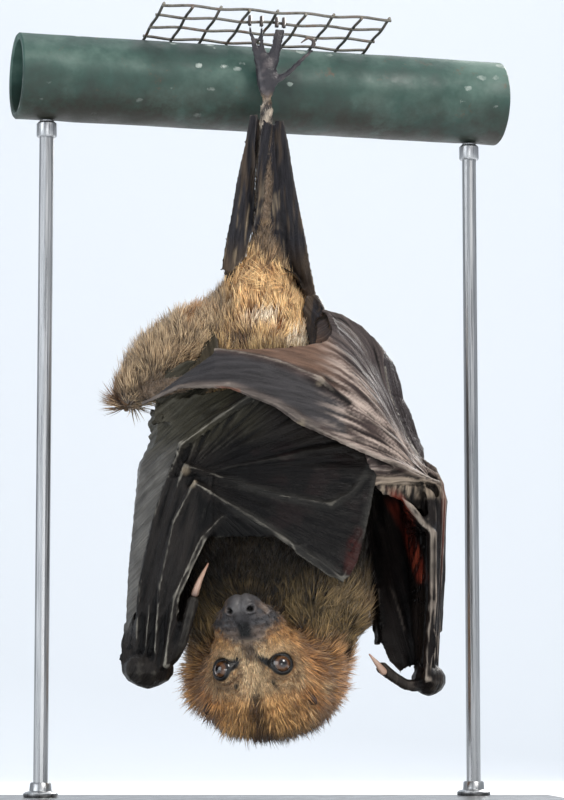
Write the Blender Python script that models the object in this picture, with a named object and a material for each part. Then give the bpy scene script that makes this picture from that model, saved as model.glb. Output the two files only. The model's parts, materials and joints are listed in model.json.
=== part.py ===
"""Rodrigues fruit bat at roost, head down, holding by one foot to a cut length of pipe and netting.

The constants are in millimetres and MM turns them into Blender's metres. X runs to the right of the
model as it is looked at, Y away from the viewer and Z up. The origin lies under the middle of the base.
The bat faces the viewer, so its own right side is at +X.
"""
import math

import bmesh
import bpy
from mathutils import Matrix, Vector

MM = 0.001
CLEARANCE = 0.33          # gap between two pieces that touch
SKIN_THICKNESS = 0.9      # flight membrane, both faces of skin together

# Display stand and perch
BASE_WIDTH = 240.0
BASE_DEPTH = 144.0
BASE_HEIGHT = 10.0
BASE_BEVEL = 1.6
ROD_RADIUS = 3.0
ROD_SPAN = 184.0          # between the two rods, along the pipe
PIPE_RADIUS = 18.0
PIPE_WALL = 3.0
PIPE_LENGTH = 210.0
PIPE_YAW = math.radians(15.0)
NET_CELL = 12.0
NET_WIRE = 1.4
NET_COLUMNS = 8
NET_ROWS = 4
NET_PITCH = math.radians(8.0)    # the netting rises towards the viewer

# The bat
FOREARM_RADIUS = 4.4
UPPER_ARM_RADIUS = 6.4
METACARPAL_RADIUS = 1.75
PHALANX_RADIUS = 1.45
FINGERTIP_RADIUS = 0.75
KNUCKLE_SWELL = 1.35      # knuckle radius over bone radius
EYE_RADIUS = 4.9
EYE_SPACING = 22.3
EAR_LENGTH = 17.0
TOE_RADIUS = 1.3


def V(x, y, z):
    return Vector((x, y, z))


# ---------------------------------------------------------------- materials

FINISHES = {
    "golden_fur": ((0.52, 0.33, 0.15), 0.9, 0.0),
    "brown_fur": ((0.16, 0.10, 0.05), 0.9, 0.0),
    "grey_fur": ((0.30, 0.23, 0.15), 0.9, 0.0),
    "bare_skin": ((0.03, 0.032, 0.036), 0.5, 0.0),
    "wing_skin": ((0.035, 0.034, 0.032), 0.55, 0.0),
    "finger_skin": ((0.10, 0.095, 0.08), 0.5, 0.0),
    "claw_horn": ((0.55, 0.38, 0.30), 0.35, 0.0),
    "dark_claw": ((0.03, 0.025, 0.02), 0.35, 0.0),
    "eye_surface": ((0.10, 0.045, 0.015), 0.05, 0.0),
    "pipe_paint": ((0.05, 0.13, 0.10), 0.55, 0.0),
    "galvanized_wire": ((0.32, 0.32, 0.30), 0.45, 0.9),
    "rod_steel": ((0.55, 0.55, 0.56), 0.25, 1.0),
    "base_lacquer": ((0.02, 0.02, 0.022), 0.35, 0.0),
}


def finish(name):
    """The Principled material called name, made once."""
    material = bpy.data.materials.get(name)
    if material is None:
        colour, roughness, metallic = FINISHES[name]
        material = bpy.data.materials.new(name)
        material.use_nodes = True
        shader = material.node_tree.nodes["Principled BSDF"]
        shader.inputs["Base Color"].default_value = (*colour, 1.0)
        shader.inputs["Roughness"].default_value = roughness
        shader.inputs["Metallic"].default_value = metallic
    return material


# ---------------------------------------------------------------- curves

def rail(keys, corners=()):
    """A smooth curve through keys {t: point}; at a corner it turns without rounding."""
    times = sorted(keys)
    points = [Vector(keys[t]) for t in times]

    def slope(i, side):
        before = max(i - 1, 0)
        after = min(i + 1, len(times) - 1)
        if times[i] in corners:
            before, after = (i, after) if side > 0 else (before, i)
        if before == after:
            before, after = max(i - 1, 0), min(i + 1, len(times) - 1)
        return (points[after] - points[before]) / (times[after] - times[before])

    def curve(t):
        t = min(max(t, times[0]), times[-1])
        i = max(k for k in range(len(times) - 1) if times[k] <= t)
        span = times[i + 1] - times[i]
        u = (t - times[i]) / span
        start, end = points[i], points[i + 1]
        m0, m1 = slope(i, 1) * span, slope(i + 1, -1) * span
        return (start * (2 * u ** 3 - 3 * u ** 2 + 1) + m0 * (u ** 3 - 2 * u ** 2 + u)
                + end * (3 * u ** 2 - 2 * u ** 3) + m1 * (u ** 3 - u ** 2))

    return curve


def steps(first, last, count):
    """count + 1 even values from first to last."""
    return [first + (last - first) * i / count for i in range(count + 1)]


def blend(keys):
    """A number that runs smoothly through keys {t: value}."""
    curve = rail({t: V(value, 0, 0) for t, value in keys.items()})
    return lambda t: curve(t).x


# ---------------------------------------------------------------- meshes

def add_node(name, verts, faces, material):
    """An object in the scene from points in millimetres, with its faces turned outwards."""
    mesh = bpy.data.meshes.new(name)
    mesh.from_pydata([Vector(v) * MM for v in verts], [], faces)
    node = bpy.data.objects.new(name, mesh)
    bpy.context.collection.objects.link(node)
    mesh.materials.append(finish(material))
    work = bmesh.new()
    work.from_mesh(mesh)
    bmesh.ops.recalc_face_normals(work, faces=work.faces)
    bmesh.ops.triangulate(work, faces=work.faces)
    work.to_mesh(mesh)
    work.free()
    mesh.shade_smooth()
    return node


def bridge(rings, first_pole=None, last_pole=None):
    """Points and faces of a skin over rings, closed by poles or, without them, by flat ends."""
    sides = len(rings[0])
    verts = [v for ring in rings for v in ring]
    faces = []
    for r in range(len(rings) - 1):
        for k in range(sides):
            a = r * sides + k
            b = r * sides + (k + 1) % sides
            faces.append((a, b, b + sides, a + sides))
    for pole, ring in ((first_pole, 0), (last_pole, len(rings) - 1)):
        loop = [ring * sides + k for k in range(sides)]
        if pole is None:
            faces.append(tuple(loop))
        else:
            verts.append(pole)
            tip = len(verts) - 1
            faces.extend((loop[k], loop[(k + 1) % sides], tip) for k in range(sides))
    return verts, faces


def tube(name, curve, radius, stations, material, sides=6, face=V(0, 1, 0), flat=1.0):
    """A round-ended limb along curve; flat < 1 thins it along the direction face."""
    rings, centres, tangents = [], [], []
    step = 0.01
    low, high = stations[0], stations[-1]
    for t in stations:
        tangent = (curve(min(t + step, high)) - curve(max(t - step, low))).normalized()
        side = tangent.cross(face).normalized()
        depth = side.cross(tangent)
        centres.append(curve(t))
        tangents.append(tangent)
        rings.append((side, depth, radius(t)))
    cap = 0.55

    def ring(i, shift, scale):
        side, depth, r = rings[i]
        middle = centres[i] + tangents[i] * shift * r
        turn = [2 * math.pi * k / sides for k in range(sides)]
        return [middle + (side * math.cos(a) + depth * math.sin(a) * flat) * r * scale for a in turn]

    last = len(rings) - 1
    body = [ring(0, -cap, 0.72)] + [ring(i, 0.0, 1.0) for i in range(len(rings))] + [ring(last, cap, 0.72)]
    start_pole = centres[0] - tangents[0] * rings[0][2] * 0.85
    end_pole = centres[last] + tangents[last] * rings[last][2] * 0.85
    verts, faces = bridge(body, start_pole, end_pole)
    return add_node(name, verts, faces, material)


def stack(name, levels, material, sides=18, power=2.3, frame=Matrix(), flat_low=False, flat_high=False):
    """Rings (height, centre x, centre y, half width, half depth), skinned; round ends unless flat."""
    rings = []
    for height, cx, cy, rx, ry in levels:
        ring = []
        for k in range(sides):
            a = 2 * math.pi * k / sides
            c, s = math.cos(a), math.sin(a)
            x = cx + rx * math.copysign(abs(c) ** (2 / power), c)
            y = cy + ry * math.copysign(abs(s) ** (2 / power), s)
            ring.append(frame @ V(x, y, height))
        rings.append(ring)
    poles = []
    for end, flat in ((0, flat_low), (-1, flat_high)):
        height, cx, cy, rx, ry = levels[end]
        away = math.copysign(1.0, levels[end][0] - levels[1 if end == 0 else -2][0])
        poles.append(None if flat else frame @ V(cx, cy, height + away * 0.35 * min(rx, ry)))
    verts, faces = bridge(rings, *poles)
    return add_node(name, verts, faces, material)


def clear_of(bone, radius, t, across, end):
    """How far in from its end the line across leaves the rail bone, near t, by radius and a clearance."""
    near = [(bone(u), radius(u) + CLEARANCE) for u in steps(max(t - 0.1, 0.0), min(t + 0.1, 1.0), 30)]
    s = 0.0
    while s < 0.45 and any((across(abs(end - s)) - point).length < reach for point, reach in near):
        s += 0.005
    return s


def web(name, rails, radii, material="wing_skin", span=(0.0, 1.0), rows=12, columns=5, pleat=None):
    """A membrane hung between its outer rails; a rail between them bends it.

    The two functions radii(t) are of the bones that its edges stay clear of, and pleat(t, s) is a fold height.
    """
    half = SKIN_THICKNESS / 2
    grid = []
    for t in steps(span[0], span[1], rows):
        points = [curve(t) for curve in rails]
        across = rail({i / (len(points) - 1): p for i, p in enumerate(points)})
        first = clear_of(rails[0], radii[0], t, across, 0.0)
        last = clear_of(rails[-1], radii[1], t, across, 1.0)
        grid.append([across(s) for s in steps(first, 1.0 - last, columns)])
    normals = []
    for i in range(rows + 1):
        line = []
        for j in range(columns + 1):
            along = grid[min(i + 1, rows)][j] - grid[max(i - 1, 0)][j]
            over = grid[i][min(j + 1, columns)] - grid[i][max(j - 1, 0)]
            line.append(along.cross(over).normalized())
        normals.append(line)
    if pleat:
        for i, t in enumerate(steps(span[0], span[1], rows)):
            for j in range(1, columns):
                grid[i][j] = grid[i][j] + normals[i][j] * pleat(t, j / columns)
    verts = []
    for sign in (1, -1):
        for i in range(rows + 1):
            verts.extend(grid[i][j] + normals[i][j] * half * sign for j in range(columns + 1))
    wide = columns + 1
    back = (rows + 1) * wide
    faces = []
    for i in range(rows):
        for j in range(columns):
            a = i * wide + j
            quad = (a, a + 1, a + wide + 1, a + wide)
            faces.append(quad)
            faces.append(tuple(k + back for k in reversed(quad)))
    border = [j for j in range(columns)]
    border += [i * wide + columns for i in range(rows)]
    border += [rows * wide + j for j in range(columns, 0, -1)]
    border += [i * wide for i in range(rows, 0, -1)]
    for k, a in enumerate(border):
        b = border[(k + 1) % len(border)]
        faces.append((a, b, b + back, a + back))
    return add_node(name, verts, faces, material)


def ball(name, centre, radii, material, rings=8, sides=12, frame=Matrix()):
    """An ellipsoid."""
    levels = []
    for k in range(1, rings):
        a = math.pi * k / rings
        levels.append((-radii[2] * math.cos(a), 0.0, 0.0, radii[0] * math.sin(a), radii[1] * math.sin(a)))
    node = stack(name, levels, material, sides, 2.0, Matrix.Translation(centre) @ frame)
    return node


# ---------------------------------------------------------------- fitting pieces to each other

def evaluated(node):
    graph = bpy.context.evaluated_depsgraph_get()
    return bpy.data.meshes.new_from_object(node.evaluated_get(graph))


def largest_body(node):
    """Keeps the largest connected body of a mesh and merges points that fell together."""
    work = bmesh.new()
    work.from_mesh(node.data)
    bmesh.ops.remove_doubles(work, verts=work.verts, dist=0.012 * MM)
    bmesh.ops.dissolve_degenerate(work, edges=work.edges, dist=0.012 * MM)
    bmesh.ops.triangulate(work, faces=work.faces)
    left = set(work.verts)
    bodies = []
    while left:
        front = [left.pop()]
        body = set(front)
        while front:
            vert = front.pop()
            near = [edge.other_vert(vert) for edge in vert.link_edges]
            fresh = [v for v in near if v in left]
            left.difference_update(fresh)
            body.update(fresh)
            front.extend(fresh)
        bodies.append(body)
    keep = max(bodies, key=len)
    bmesh.ops.delete(work, geom=[v for v in work.verts if v not in keep], context="VERTS")
    work.to_mesh(node.data)
    work.free()


def combine(node, other, operation):
    """Applies a Boolean of other to node and removes other."""
    modifier = node.modifiers.new("Fit", "BOOLEAN")
    modifier.operation = operation
    modifier.solver = "EXACT"
    modifier.object = other
    mesh = evaluated(node)
    node.modifiers.clear()
    node.data = mesh
    bpy.data.objects.remove(other)


def trim(node, *neighbours):
    """Cuts node back to a clearance from each neighbour."""
    for neighbour in neighbours:
        cutter = neighbour.copy()
        cutter.data = neighbour.data.copy()
        bpy.context.collection.objects.link(cutter)
        for vert, normal in zip(cutter.data.vertices, [Vector(v.normal) for v in cutter.data.vertices]):
            vert.co += normal * CLEARANCE * MM
        combine(node, cutter, "DIFFERENCE")
    largest_body(node)
    node.data.shade_smooth()
    return node


# ---------------------------------------------------------------- stand and perch

PIPE_CENTRE = V(-3.6, 22.0, 306.0)
PIPE_AXIS = V(math.cos(PIPE_YAW), math.sin(PIPE_YAW), 0.0)
NET_REACH = 25.0                 # from over the pipe's axis to the wire that the claws hook
NET_RISE = (PIPE_RADIUS + CLEARANCE + NET_WIRE / 2 + NET_REACH * math.sin(NET_PITCH)) / math.cos(NET_PITCH)
NET_HOLD = PIPE_CENTRE + PIPE_AXIS * -3.0 + V(math.sin(PIPE_YAW), -math.cos(PIPE_YAW), 0) * NET_REACH \
    + V(0, 0, NET_RISE)


def wire_depth(x):
    """Y of the hooked wire at x."""
    return NET_HOLD.y + (x - NET_HOLD.x) * math.tan(PIPE_YAW)


def make_stand():
    bpy.ops.mesh.primitive_cube_add(size=1.0, location=(0, 0, BASE_HEIGHT / 2 * MM))
    base = bpy.context.object
    base.name = "stand_base"
    base.scale = (BASE_WIDTH * MM, BASE_DEPTH * MM, BASE_HEIGHT * MM)
    bpy.ops.object.transform_apply(location=False, rotation=False, scale=True)
    base.data.materials.append(finish("base_lacquer"))
    bevel = base.modifiers.new("Edge", "BEVEL")
    bevel.width = BASE_BEVEL * MM
    bevel.segments = 1
    rod_top = PIPE_CENTRE.z - PIPE_RADIUS - CLEARANCE
    rod_foot = BASE_HEIGHT + CLEARANCE
    for side, sign in (("left", -1), ("right", 1)):
        foot = PIPE_CENTRE + PIPE_AXIS * sign * ROD_SPAN / 2
        levels = [(z, foot.x, foot.y, ROD_RADIUS, ROD_RADIUS) for z in (rod_foot, rod_top)]
        stack("stand_rod_" + side, levels, "rod_steel", 16, 2.0, flat_low=True, flat_high=True)


def make_pipe():
    """A thick-walled tube: outer skin, inner skin and two ring ends."""
    sides = 24
    turn = Matrix.Translation(PIPE_CENTRE) @ Matrix.Rotation(PIPE_YAW, 4, "Z") @ Matrix.Rotation(math.pi / 2, 4, "Y")
    loops = []
    half = PIPE_LENGTH / 2
    for radius, along in ((PIPE_RADIUS, -half), (PIPE_RADIUS, half),
                          (PIPE_RADIUS - PIPE_WALL, half), (PIPE_RADIUS - PIPE_WALL, -half)):
        loops.append([turn @ V(radius * math.cos(2 * math.pi * k / sides),
                               radius * math.sin(2 * math.pi * k / sides), along) for k in range(sides)])
    verts = [v for loop in loops for v in loop]
    faces = []
    for r in range(4):
        for k in range(sides):
            a, b = r * sides + k, r * sides + (k + 1) % sides
            c, d = (b + sides) % (4 * sides), (a + sides) % (4 * sides)
            faces.append((a, b, c, d))
    return add_node("perch_pipe", verts, faces, "pipe_paint")


def make_netting():
    """Square-mesh wire netting: a grid of bars left when its cells are taken out of a plate."""
    def marks(cells, centre_bar):
        values = []
        for i in range(cells + 1):
            middle = (i - centre_bar) * NET_CELL
            values += [middle - NET_WIRE / 2, middle + NET_WIRE / 2]
        return values

    xs, ys = marks(NET_COLUMNS, NET_COLUMNS // 2), marks(NET_ROWS, 1)
    wide = len(xs)
    lay = Matrix.Translation(NET_HOLD) @ Matrix.Rotation(PIPE_YAW, 4, "Z") @ Matrix.Rotation(-NET_PITCH, 4, "X")
    verts = [lay @ V(x, y, z) for z in (-NET_WIRE / 2, NET_WIRE / 2) for y in ys for x in xs]
    under = wide * len(ys)
    solid = {(i, j) for i in range(wide - 1) for j in range(len(ys) - 1) if not (i % 2 and j % 2)}
    faces = []
    for i, j in sorted(solid):
        a = j * wide + i
        quad = (a, a + 1, a + wide + 1, a + wide)
        faces.append(tuple(k + under for k in quad))
        faces.append(tuple(reversed(quad)))
        sides = (((i, j - 1), a, a + 1), ((i + 1, j), a + 1, a + wide + 1),
                 ((i, j + 1), a + wide + 1, a + wide), ((i - 1, j), a + wide, a))
        for neighbour, p, q in sides:
            if neighbour not in solid:
                faces.append((p, q, q + under, p + under))
    return add_node("perch_netting", verts, faces, "galvanized_wire")


# ---------------------------------------------------------------- trunk, neck, legs

def make_trunk():
    levels = [(87.0, 5.0, 3.0, 37.5, 24.5), (96.0, 4.5, 3.0, 38.0, 25.5), (110.0, 3.0, 3.0, 37.0, 26.0),
              (132.0, 0.0, 3.0, 34.5, 25.0), (156.0, -3.0, 3.0, 32.0, 23.0), (176.0, -4.0, 3.5, 29.5, 21.0),
              (194.0, -5.0, 4.0, 26.5, 19.0), (210.0, -5.5, 4.0, 22.0, 16.5), (222.0, -5.0, 4.0, 16.0, 13.0),
              (230.0, -4.5, 4.0, 9.0, 8.0)]
    return stack("trunk", levels, "golden_fur", 16, 2.2, flat_low=True)


def make_neck():
    """The furred neck, bent so that the nape is the lowest part of the animal."""
    levels = [(30.0, -2.0, -3.0, 10.0, 8.0), (33.0, -1.0, -2.0, 19.0, 13.0), (40.0, 0.0, 1.0, 29.0, 19.0),
              (50.0, 0.5, 4.0, 35.0, 22.5), (62.0, 1.5, 4.5, 37.5, 23.5), (75.0, 4.0, 4.0, 38.5, 24.0),
              (87.0 - CLEARANCE, 5.0, 3.0, 37.5, 24.5)]
    return stack("neck", levels, "brown_fur", 16, 2.2, flat_high=True)


THIGHS = {
    "right": (rail({0: V(2, 6, 200), 0.5: V(-2, 5, 222), 1: V(-3.6, 2, 240)}),
              blend({0: 15.0, 0.5: 12.0, 1: 5.6})),
    "left": (rail({0: V(-16, 3, 203), 0.45: V(-37, 0, 195), 0.75: V(-49, -2, 183), 1: V(-60, -4, 171)}),
             blend({0: 15.0, 0.45: 13.2, 0.75: 11.6, 1: 9.0})),
}
SHANKS = {
    "right": (rail({0: V(-3.4, 2, 243), 0.5: V(-2.6, -0.5, 268), 1: V(-1.4, -3, 294)}),
              blend({0: 3.9, 0.35: 3.7, 1: 2.6})),
    "left": (rail({0: V(-60, -5, 171), 0.5: V(-43, -14.5, 174.5), 1: V(-25, -24.0, 177)}),
             blend({0: 3.9, 0.35: 3.6, 1: 2.6})),
}


def make_foot(side, frame, toes, outer_toe):
    """A flat sole with four long toes and a spread outer one, joined into one body."""
    sole = rail({0: V(0, 0, 2.2), 0.4: V(0, 0, 8), 1: V(-0.6, -0.4, 16.5)})
    lay = frame.to_3x3() @ V(0, 1, 0)

    def placed(curve):
        return lambda t: frame @ curve(t)

    foot = tube("foot_" + side, placed(sole), blend({0: 3.1, 0.5: 4.9, 1: 4.6}), steps(0, 1, 3),
                "bare_skin", 7, lay, 0.55)
    for root, tip in toes:
        bend = (root + tip) / 2 + V(0, -0.9, 0.5)
        toe = tube("toe", placed(rail({0: root, 0.5: bend, 1: tip})), blend({0: TOE_RADIUS, 1: TOE_RADIUS * 0.85}),
                   steps(0, 1, 2), "bare_skin", 5, lay)
        combine(foot, toe, "UNION")
    spread = tube("toe", placed(outer_toe), blend({0: 1.7, 0.5: 1.45, 1: 1.25}), steps(0, 1, 3),
                  "bare_skin", 5, lay)
    combine(foot, spread, "UNION")
    largest_body(foot)
    return foot


RIGHT_FOOT = Matrix.Translation(V(-1.4, -3.2, 296.0))
LEFT_FOOT = (Matrix.Translation(V(-22.6, -25.2, 177.4)) @ Matrix.Rotation(math.radians(82), 4, "Y")
             @ Matrix.Rotation(math.radians(8), 4, "X"))
TOE_ROOTS = (-4.2, -1.5, 1.4, 4.0)
GRIP_TIPS = (-7.0, -2.2, 4.1, 7.0)
TOE_RISE = 29.6           # from the ankle to the tips of the gripping toes
CLAW_RISE = 4.6
CLAW_STAND_OFF = 2.9      # toe tips in front of the wire


def toe_tip(x):
    """Tip of a gripping toe in the foot's own frame."""
    return V(x, wire_depth(x + RIGHT_FOOT.translation.x) - CLAW_STAND_OFF - RIGHT_FOOT.translation.y, TOE_RISE)


def gripping_toes():
    return [(V(root, -0.6, 15.5), toe_tip(tip)) for root, tip in zip(TOE_ROOTS, GRIP_TIPS)]


def resting_toes():
    return [(V(root, -0.4, 15.5), V(root * 1.25, 0.5, 26.0)) for root in TOE_ROOTS]


GRIP_OUTER = rail({0: V(4.0, -0.3, 8.0), 0.35: V(9.0, -0.8, 11.5), 1: V(18.6, -1.2, 21.0)})
REST_OUTER = rail({0: V(4.0, -0.2, 8.0), 0.5: V(6.6, -0.2, 13.0), 1: V(7.4, 0.3, 20.0)})


def make_grip_claws(foot):
    """Hooks that run up from the toe tips, over the wire and down behind it."""
    for number, x in enumerate(GRIP_TIPS, 1):
        tip = RIGHT_FOOT @ toe_tip(x)
        over = V(tip.x, wire_depth(tip.x), NET_HOLD.z + NET_WIRE / 2)
        keys = {0: tip + V(0, 0.1, 0.6), 0.3: tip + V(0, 0.6, CLAW_RISE - 1.2),
                0.6: V(tip.x, over.y - 0.4, over.z + 1.9), 0.85: V(tip.x, over.y + 2.2, over.z + 0.6),
                1: V(tip.x, over.y + 2.5, over.z - 1.6)}
        claw = tube("toe_claw_%d_right" % number, rail(keys), blend({0: 0.95, 0.5: 0.8, 1: 0.3}),
                    steps(0, 1, 4), "dark_claw", 5, V(1, 0, 0))
        trim(claw, foot)
    start = RIGHT_FOOT @ V(18.8, -1.3, 21.6)
    keys = {0: start, 0.4: start + V(0.8, -0.6, 3.0), 0.7: start + V(-1.4, -0.9, 4.4),
            1: start + V(-4.6, -0.9, 2.2)}
    claw = tube("toe_claw_5_right", rail(keys), blend({0: 1.05, 0.5: 0.9, 1: 0.3}), steps(0, 1, 4),
                "claw_horn", 5, V(0, 1, 0))
    trim(claw, foot)


# ---------------------------------------------------------------- head

HEAD_ORIGIN = V(-3.4, -14.4, 57.5)
MUZZLE_WAY = V(-0.20, -0.53, 0.82).normalized()
HEAD_RIGHT = V(0.97, -0.23, 0.09)
HEAD_RIGHT = (HEAD_RIGHT - MUZZLE_WAY * HEAD_RIGHT.dot(MUZZLE_WAY)).normalized()
HEAD_BACKWARD = MUZZLE_WAY.cross(HEAD_RIGHT)      # from the crown to the throat
HEAD_FRAME = Matrix.Translation(HEAD_ORIGIN) @ Matrix(
    (HEAD_RIGHT, HEAD_BACKWARD, MUZZLE_WAY)).transposed().to_4x4()
MUZZLE_ROOT = 20.0
NOSE_ROOT = 36.0


def head_levels(rows):
    """Rows of (distance along the muzzle, half width, crown height, throat depth) as rings."""
    return [(f, 0.0, (low - top) / 2, wide, (low + top) / 2) for f, wide, top, low in rows]


def make_head():
    """Head, muzzle and nose: one form, parted where the fur ends and round the nose pad."""
    head = stack("head", head_levels([
        (-26.0, 9.0, 6.0, 7.0), (-21.0, 17.5, 12.5, 13.0), (-13.0, 23.5, 17.0, 18.0), (-3.0, 25.5, 16.5, 20.0),
        (5.0, 23.5, 13.0, 18.0), (11.0, 20.0, 10.5, 15.0), (16.0, 16.0, 9.0, 12.0),
        (MUZZLE_ROOT, 13.2, 8.2, 10.0)]), "golden_fur", 16, 2.15, HEAD_FRAME, flat_high=True)
    muzzle = stack("muzzle", head_levels([
        (MUZZLE_ROOT + CLEARANCE, 13.1, 8.2, 10.0), (24.0, 11.0, 7.6, 8.6), (29.0, 9.0, 7.2, 7.2),
        (33.0, 7.9, 7.2, 6.2), (NOSE_ROOT, 7.2, 7.2, 5.2)]), "bare_skin", 14, 2.2, HEAD_FRAME,
        flat_low=True, flat_high=True)
    nose = stack("nose", head_levels([
        (NOSE_ROOT + CLEARANCE, 7.2, 7.2, 5.2), (38.4, 6.6, 6.9, 4.2), (40.2, 5.2, 5.6, 2.6),
        (41.2, 3.2, 3.6, 0.8)]), "bare_skin", 14, 2.3, HEAD_FRAME, flat_low=True)
    return head, muzzle, nose


def make_eyes():
    eyes = []
    for side, sign in (("left", -1), ("right", 1)):
        centre = HEAD_FRAME @ V(sign * EYE_SPACING / 2, -7.6, 10.0)
        eyes.append(ball("eye_" + side, centre, (EYE_RADIUS,) * 3, "eye_surface", 6, 10))
    return eyes


def make_ears():
    """Short rounded ears that lean back into the fur behind the cheeks."""
    ears = []
    for side, sign in (("left", -1), ("right", 1)):
        root = HEAD_FRAME @ V(sign * 17.0, -4.0, -6.0)
        lift = (HEAD_FRAME.to_3x3() @ V(sign * 0.78, -0.48, -0.34)).normalized()
        across = lift.cross(HEAD_FRAME.to_3x3() @ V(0, 0, 1)).normalized()
        frame = Matrix.Translation(root) @ Matrix((across.cross(lift), -across, lift)).transposed().to_4x4()
        levels = [(h * EAR_LENGTH, 0, 0, wide, thick) for h, wide, thick in
                  ((0.0, 4.2, 2.4), (0.3, 5.6, 1.9), (0.6, 5.6, 1.3), (0.85, 4.0, 1.0), (0.97, 2.2, 0.8))]
        ears.append(stack("ear_" + side, levels, "bare_skin", 10, 2.0, frame))
    return ears


# ---------------------------------------------------------------- wings

KNUCKLE, JOINT = 0.4, 0.75       # where a finger's palm bone and first phalanx end, along its rail

WINGS = {
    "right": {
        "shoulder": V(24, 10, 94), "elbow": V(56.5, 24, 174), "wrist": V(63.0, -10, 57.5),
        "wrist_ball": (V(63.6, -15.0, 57.0), (6.9, 9.5, 6.1)),
        "wing_bow": V(3.0, 0, 0),
        "digit_2": {0: V(62.6, -24.0, 57), 0.2: V(64.9, -27, 88), 0.4: V(65.1, -26.5, 115), 1: V(52.9, -25.5, 129.5)},
        "digit_3": {0: V(64.4, -19.0, 58), 0.4: V(68.9, -18.5, 135.5), 0.5: V(50.7, -32, 142.1),
                    0.63: V(29.4, -42.5, 150.2), 0.75: V(12.8, -46, 157.8), 0.8: V(-3.8, -47, 168.1),
                    0.86: V(-18.8, -46.4, 172.2), 0.93: V(-36.0, -41, 172.0), 1: V(-50.9, -27.5, 166.9)},
        "digit_4": {0: V(65.6, -14.0, 58.5), 0.4: V(70.4, -11.2, 139.4), 0.5: V(53.7, -25.5, 149.3),
                    0.63: V(37.8, -36.5, 159.6), 0.75: V(19.6, -42.5, 174.5), 0.87: V(-0.6, -42.6, 182.9),
                    1: V(-21.8, -38, 187.3)},
        "digit_5": {0: V(66.4, -9.0, 59), 0.4: V(71.0, -4.0, 142.8), 0.52: V(60.0, -6, 156.0),
                    0.62: V(52.1, -9, 172.5), 0.75: V(46.0, -12, 189.3), 0.88: V(33.6, -16, 201.6),
                    1: V(21.8, -20, 205.4)},
        "fold": {0: V(64.8, -11.0, 58.8), 0.4: V(69.0, -7.0, 140.8), 0.52: V(53.9, -21, 155.4),
                 0.66: V(40.0, -32.5, 169.6), 0.82: V(29.6, -36, 180.5), 1: V(21.5, -33, 191.0)},
        "thumb": [V(60.8, -19, 55.0), V(54.9, -24, 54.6), V(49.7, -26.5, 57.4), V(44.4, -27.5, 61.4)],
        "thumb_claw": [V(45.2, -30.2, 59.6), V(42.6, -31.4, 62.8), V(39.4, -31.6, 66.6)],
        "leading_edge": {0: V(57.5, -17, 58.0), 0.12: V(49.8, -14, 61.5), 0.28: V(44.6, -8, 72.0),
                         0.4: V(43.8, -1, 86.0), 0.6: V(42.8, 13, 122), 0.8: V(51.4, 19.0, 151)},
        "side_back": {0: V(63.0, -10, 55.5), 0.4: V(58.4, 14.0, 141.0), 0.55: V(56.5, 24, 174),
                      0.75: V(44.0, 26, 193), 1: V(25.0, 20, 207)},
        "side_bow": {0: V(68.0, -8, 57.0), 0.4: V(71.0, 6.0, 142.0), 0.55: V(64.0, 9, 168),
                     0.75: V(50.0, 8, 190), 1: V(27.0, 1, 206)},
        "flank": {0: V(18, 29, 98), 0.4: V(15, 30, 140), 0.7: V(13, 27, 180), 1: V(12, 21, 207)},
        "arm_line": {0: V(24, 12, 96), 0.6: V(56.5, 24, 174), 0.8: V(44.0, 26, 193), 1: V(25.0, 20, 207)},
    },
    "left": {
        "shoulder": V(-21, 10, 94), "elbow": V(-45.5, 23, 179), "wrist": V(-50.0, -12.5, 62.5),
        "wrist_ball": (V(-48.6, -18.0, 61.0), (10.4, 9.8, 7.0)),
        "wing_bow": V(-3.0, 0, 0),
        "digit_2": {0: V(-41.0, -27.8, 62.5), 0.2: V(-37, -35, 89.4), 0.4: V(-26.3, -38.5, 112.2),
                    1: V(-18, -39.5, 120.9)},
        "digit_3": {0: V(-45.0, -25.4, 63.5), 0.2: V(-40.7, -32, 108.6), 0.4: V(-29.6, -37.6, 133.6),
                    0.58: V(0.5, -41.5, 115.0), 0.75: V(28.5, -41, 95.8), 0.84: V(36.1, -36, 111.5),
                    1: V(42.0, -30, 138.0)},
        "digit_4": {0: V(-49.0, -21.6, 63.5), 0.2: V(-44.5, -26, 106.2), 0.4: V(-33.3, -33.4, 141.0),
                    0.58: V(0.9, -38.6, 129.4), 0.75: V(23.9, -37.6, 125.2), 0.88: V(35.0, -33, 132.5),
                    1: V(42.0, -29.5, 146.5)},
        "digit_5": {0: V(-53.4, -17.0, 64.0), 0.2: V(-48.9, -21.6, 109.3), 0.4: V(-34.6, -30, 150.0),
                    0.6: V(-19.5, -34.6, 160.5), 0.75: V(-6.6, -36, 169.0), 1: V(8.9, -35.5, 176.0)},
        "fold": None,
        "thumb": [V(-42.4, -23.0, 62.0), V(-35.6, -30, 69.0), V(-32.2, -33.5, 79.9), V(-30.2, -34, 87.4)],
        "thumb_claw": [V(-29.6, -34.4, 90.0), V(-27.6, -35.0, 95.6), V(-24.3, -34.4, 102.3)],
        "leading_edge": {0: V(-42.5, -16, 67.0), 0.18: V(-39.5, -12, 76.0), 0.36: V(-36.0, -3, 90.0),
                         0.6: V(-36.0, 12.4, 124), 0.8: V(-40.6, 15.6, 144)},
        "side_back": {0: V(-50.0, -12.5, 61.0), 0.4: V(-47.3, 9.0, 134.0), 0.7: V(-46.2, 17.0, 158.0),
                      1: V(-45.8, 20.2, 169.0)},
        "side_bow": {0: V(-58.4, -10, 62.5), 0.2: V(-57.0, -4, 103.0), 0.4: V(-54.0, -3, 138.0),
                     0.7: V(-51.5, -4.5, 156.0), 1: V(-50.0, -9, 168.5)},
        "flank": {0: V(-14, 29, 98), 0.4: V(-17, 30, 140), 0.7: V(-18, 27, 176), 1: V(-19, 23, 192)},
        "arm_line": {0: V(-21, 12, 96), 0.7: V(-45.5, 23, 179), 1: V(-34.0, 25, 189)},
    },
}


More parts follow.
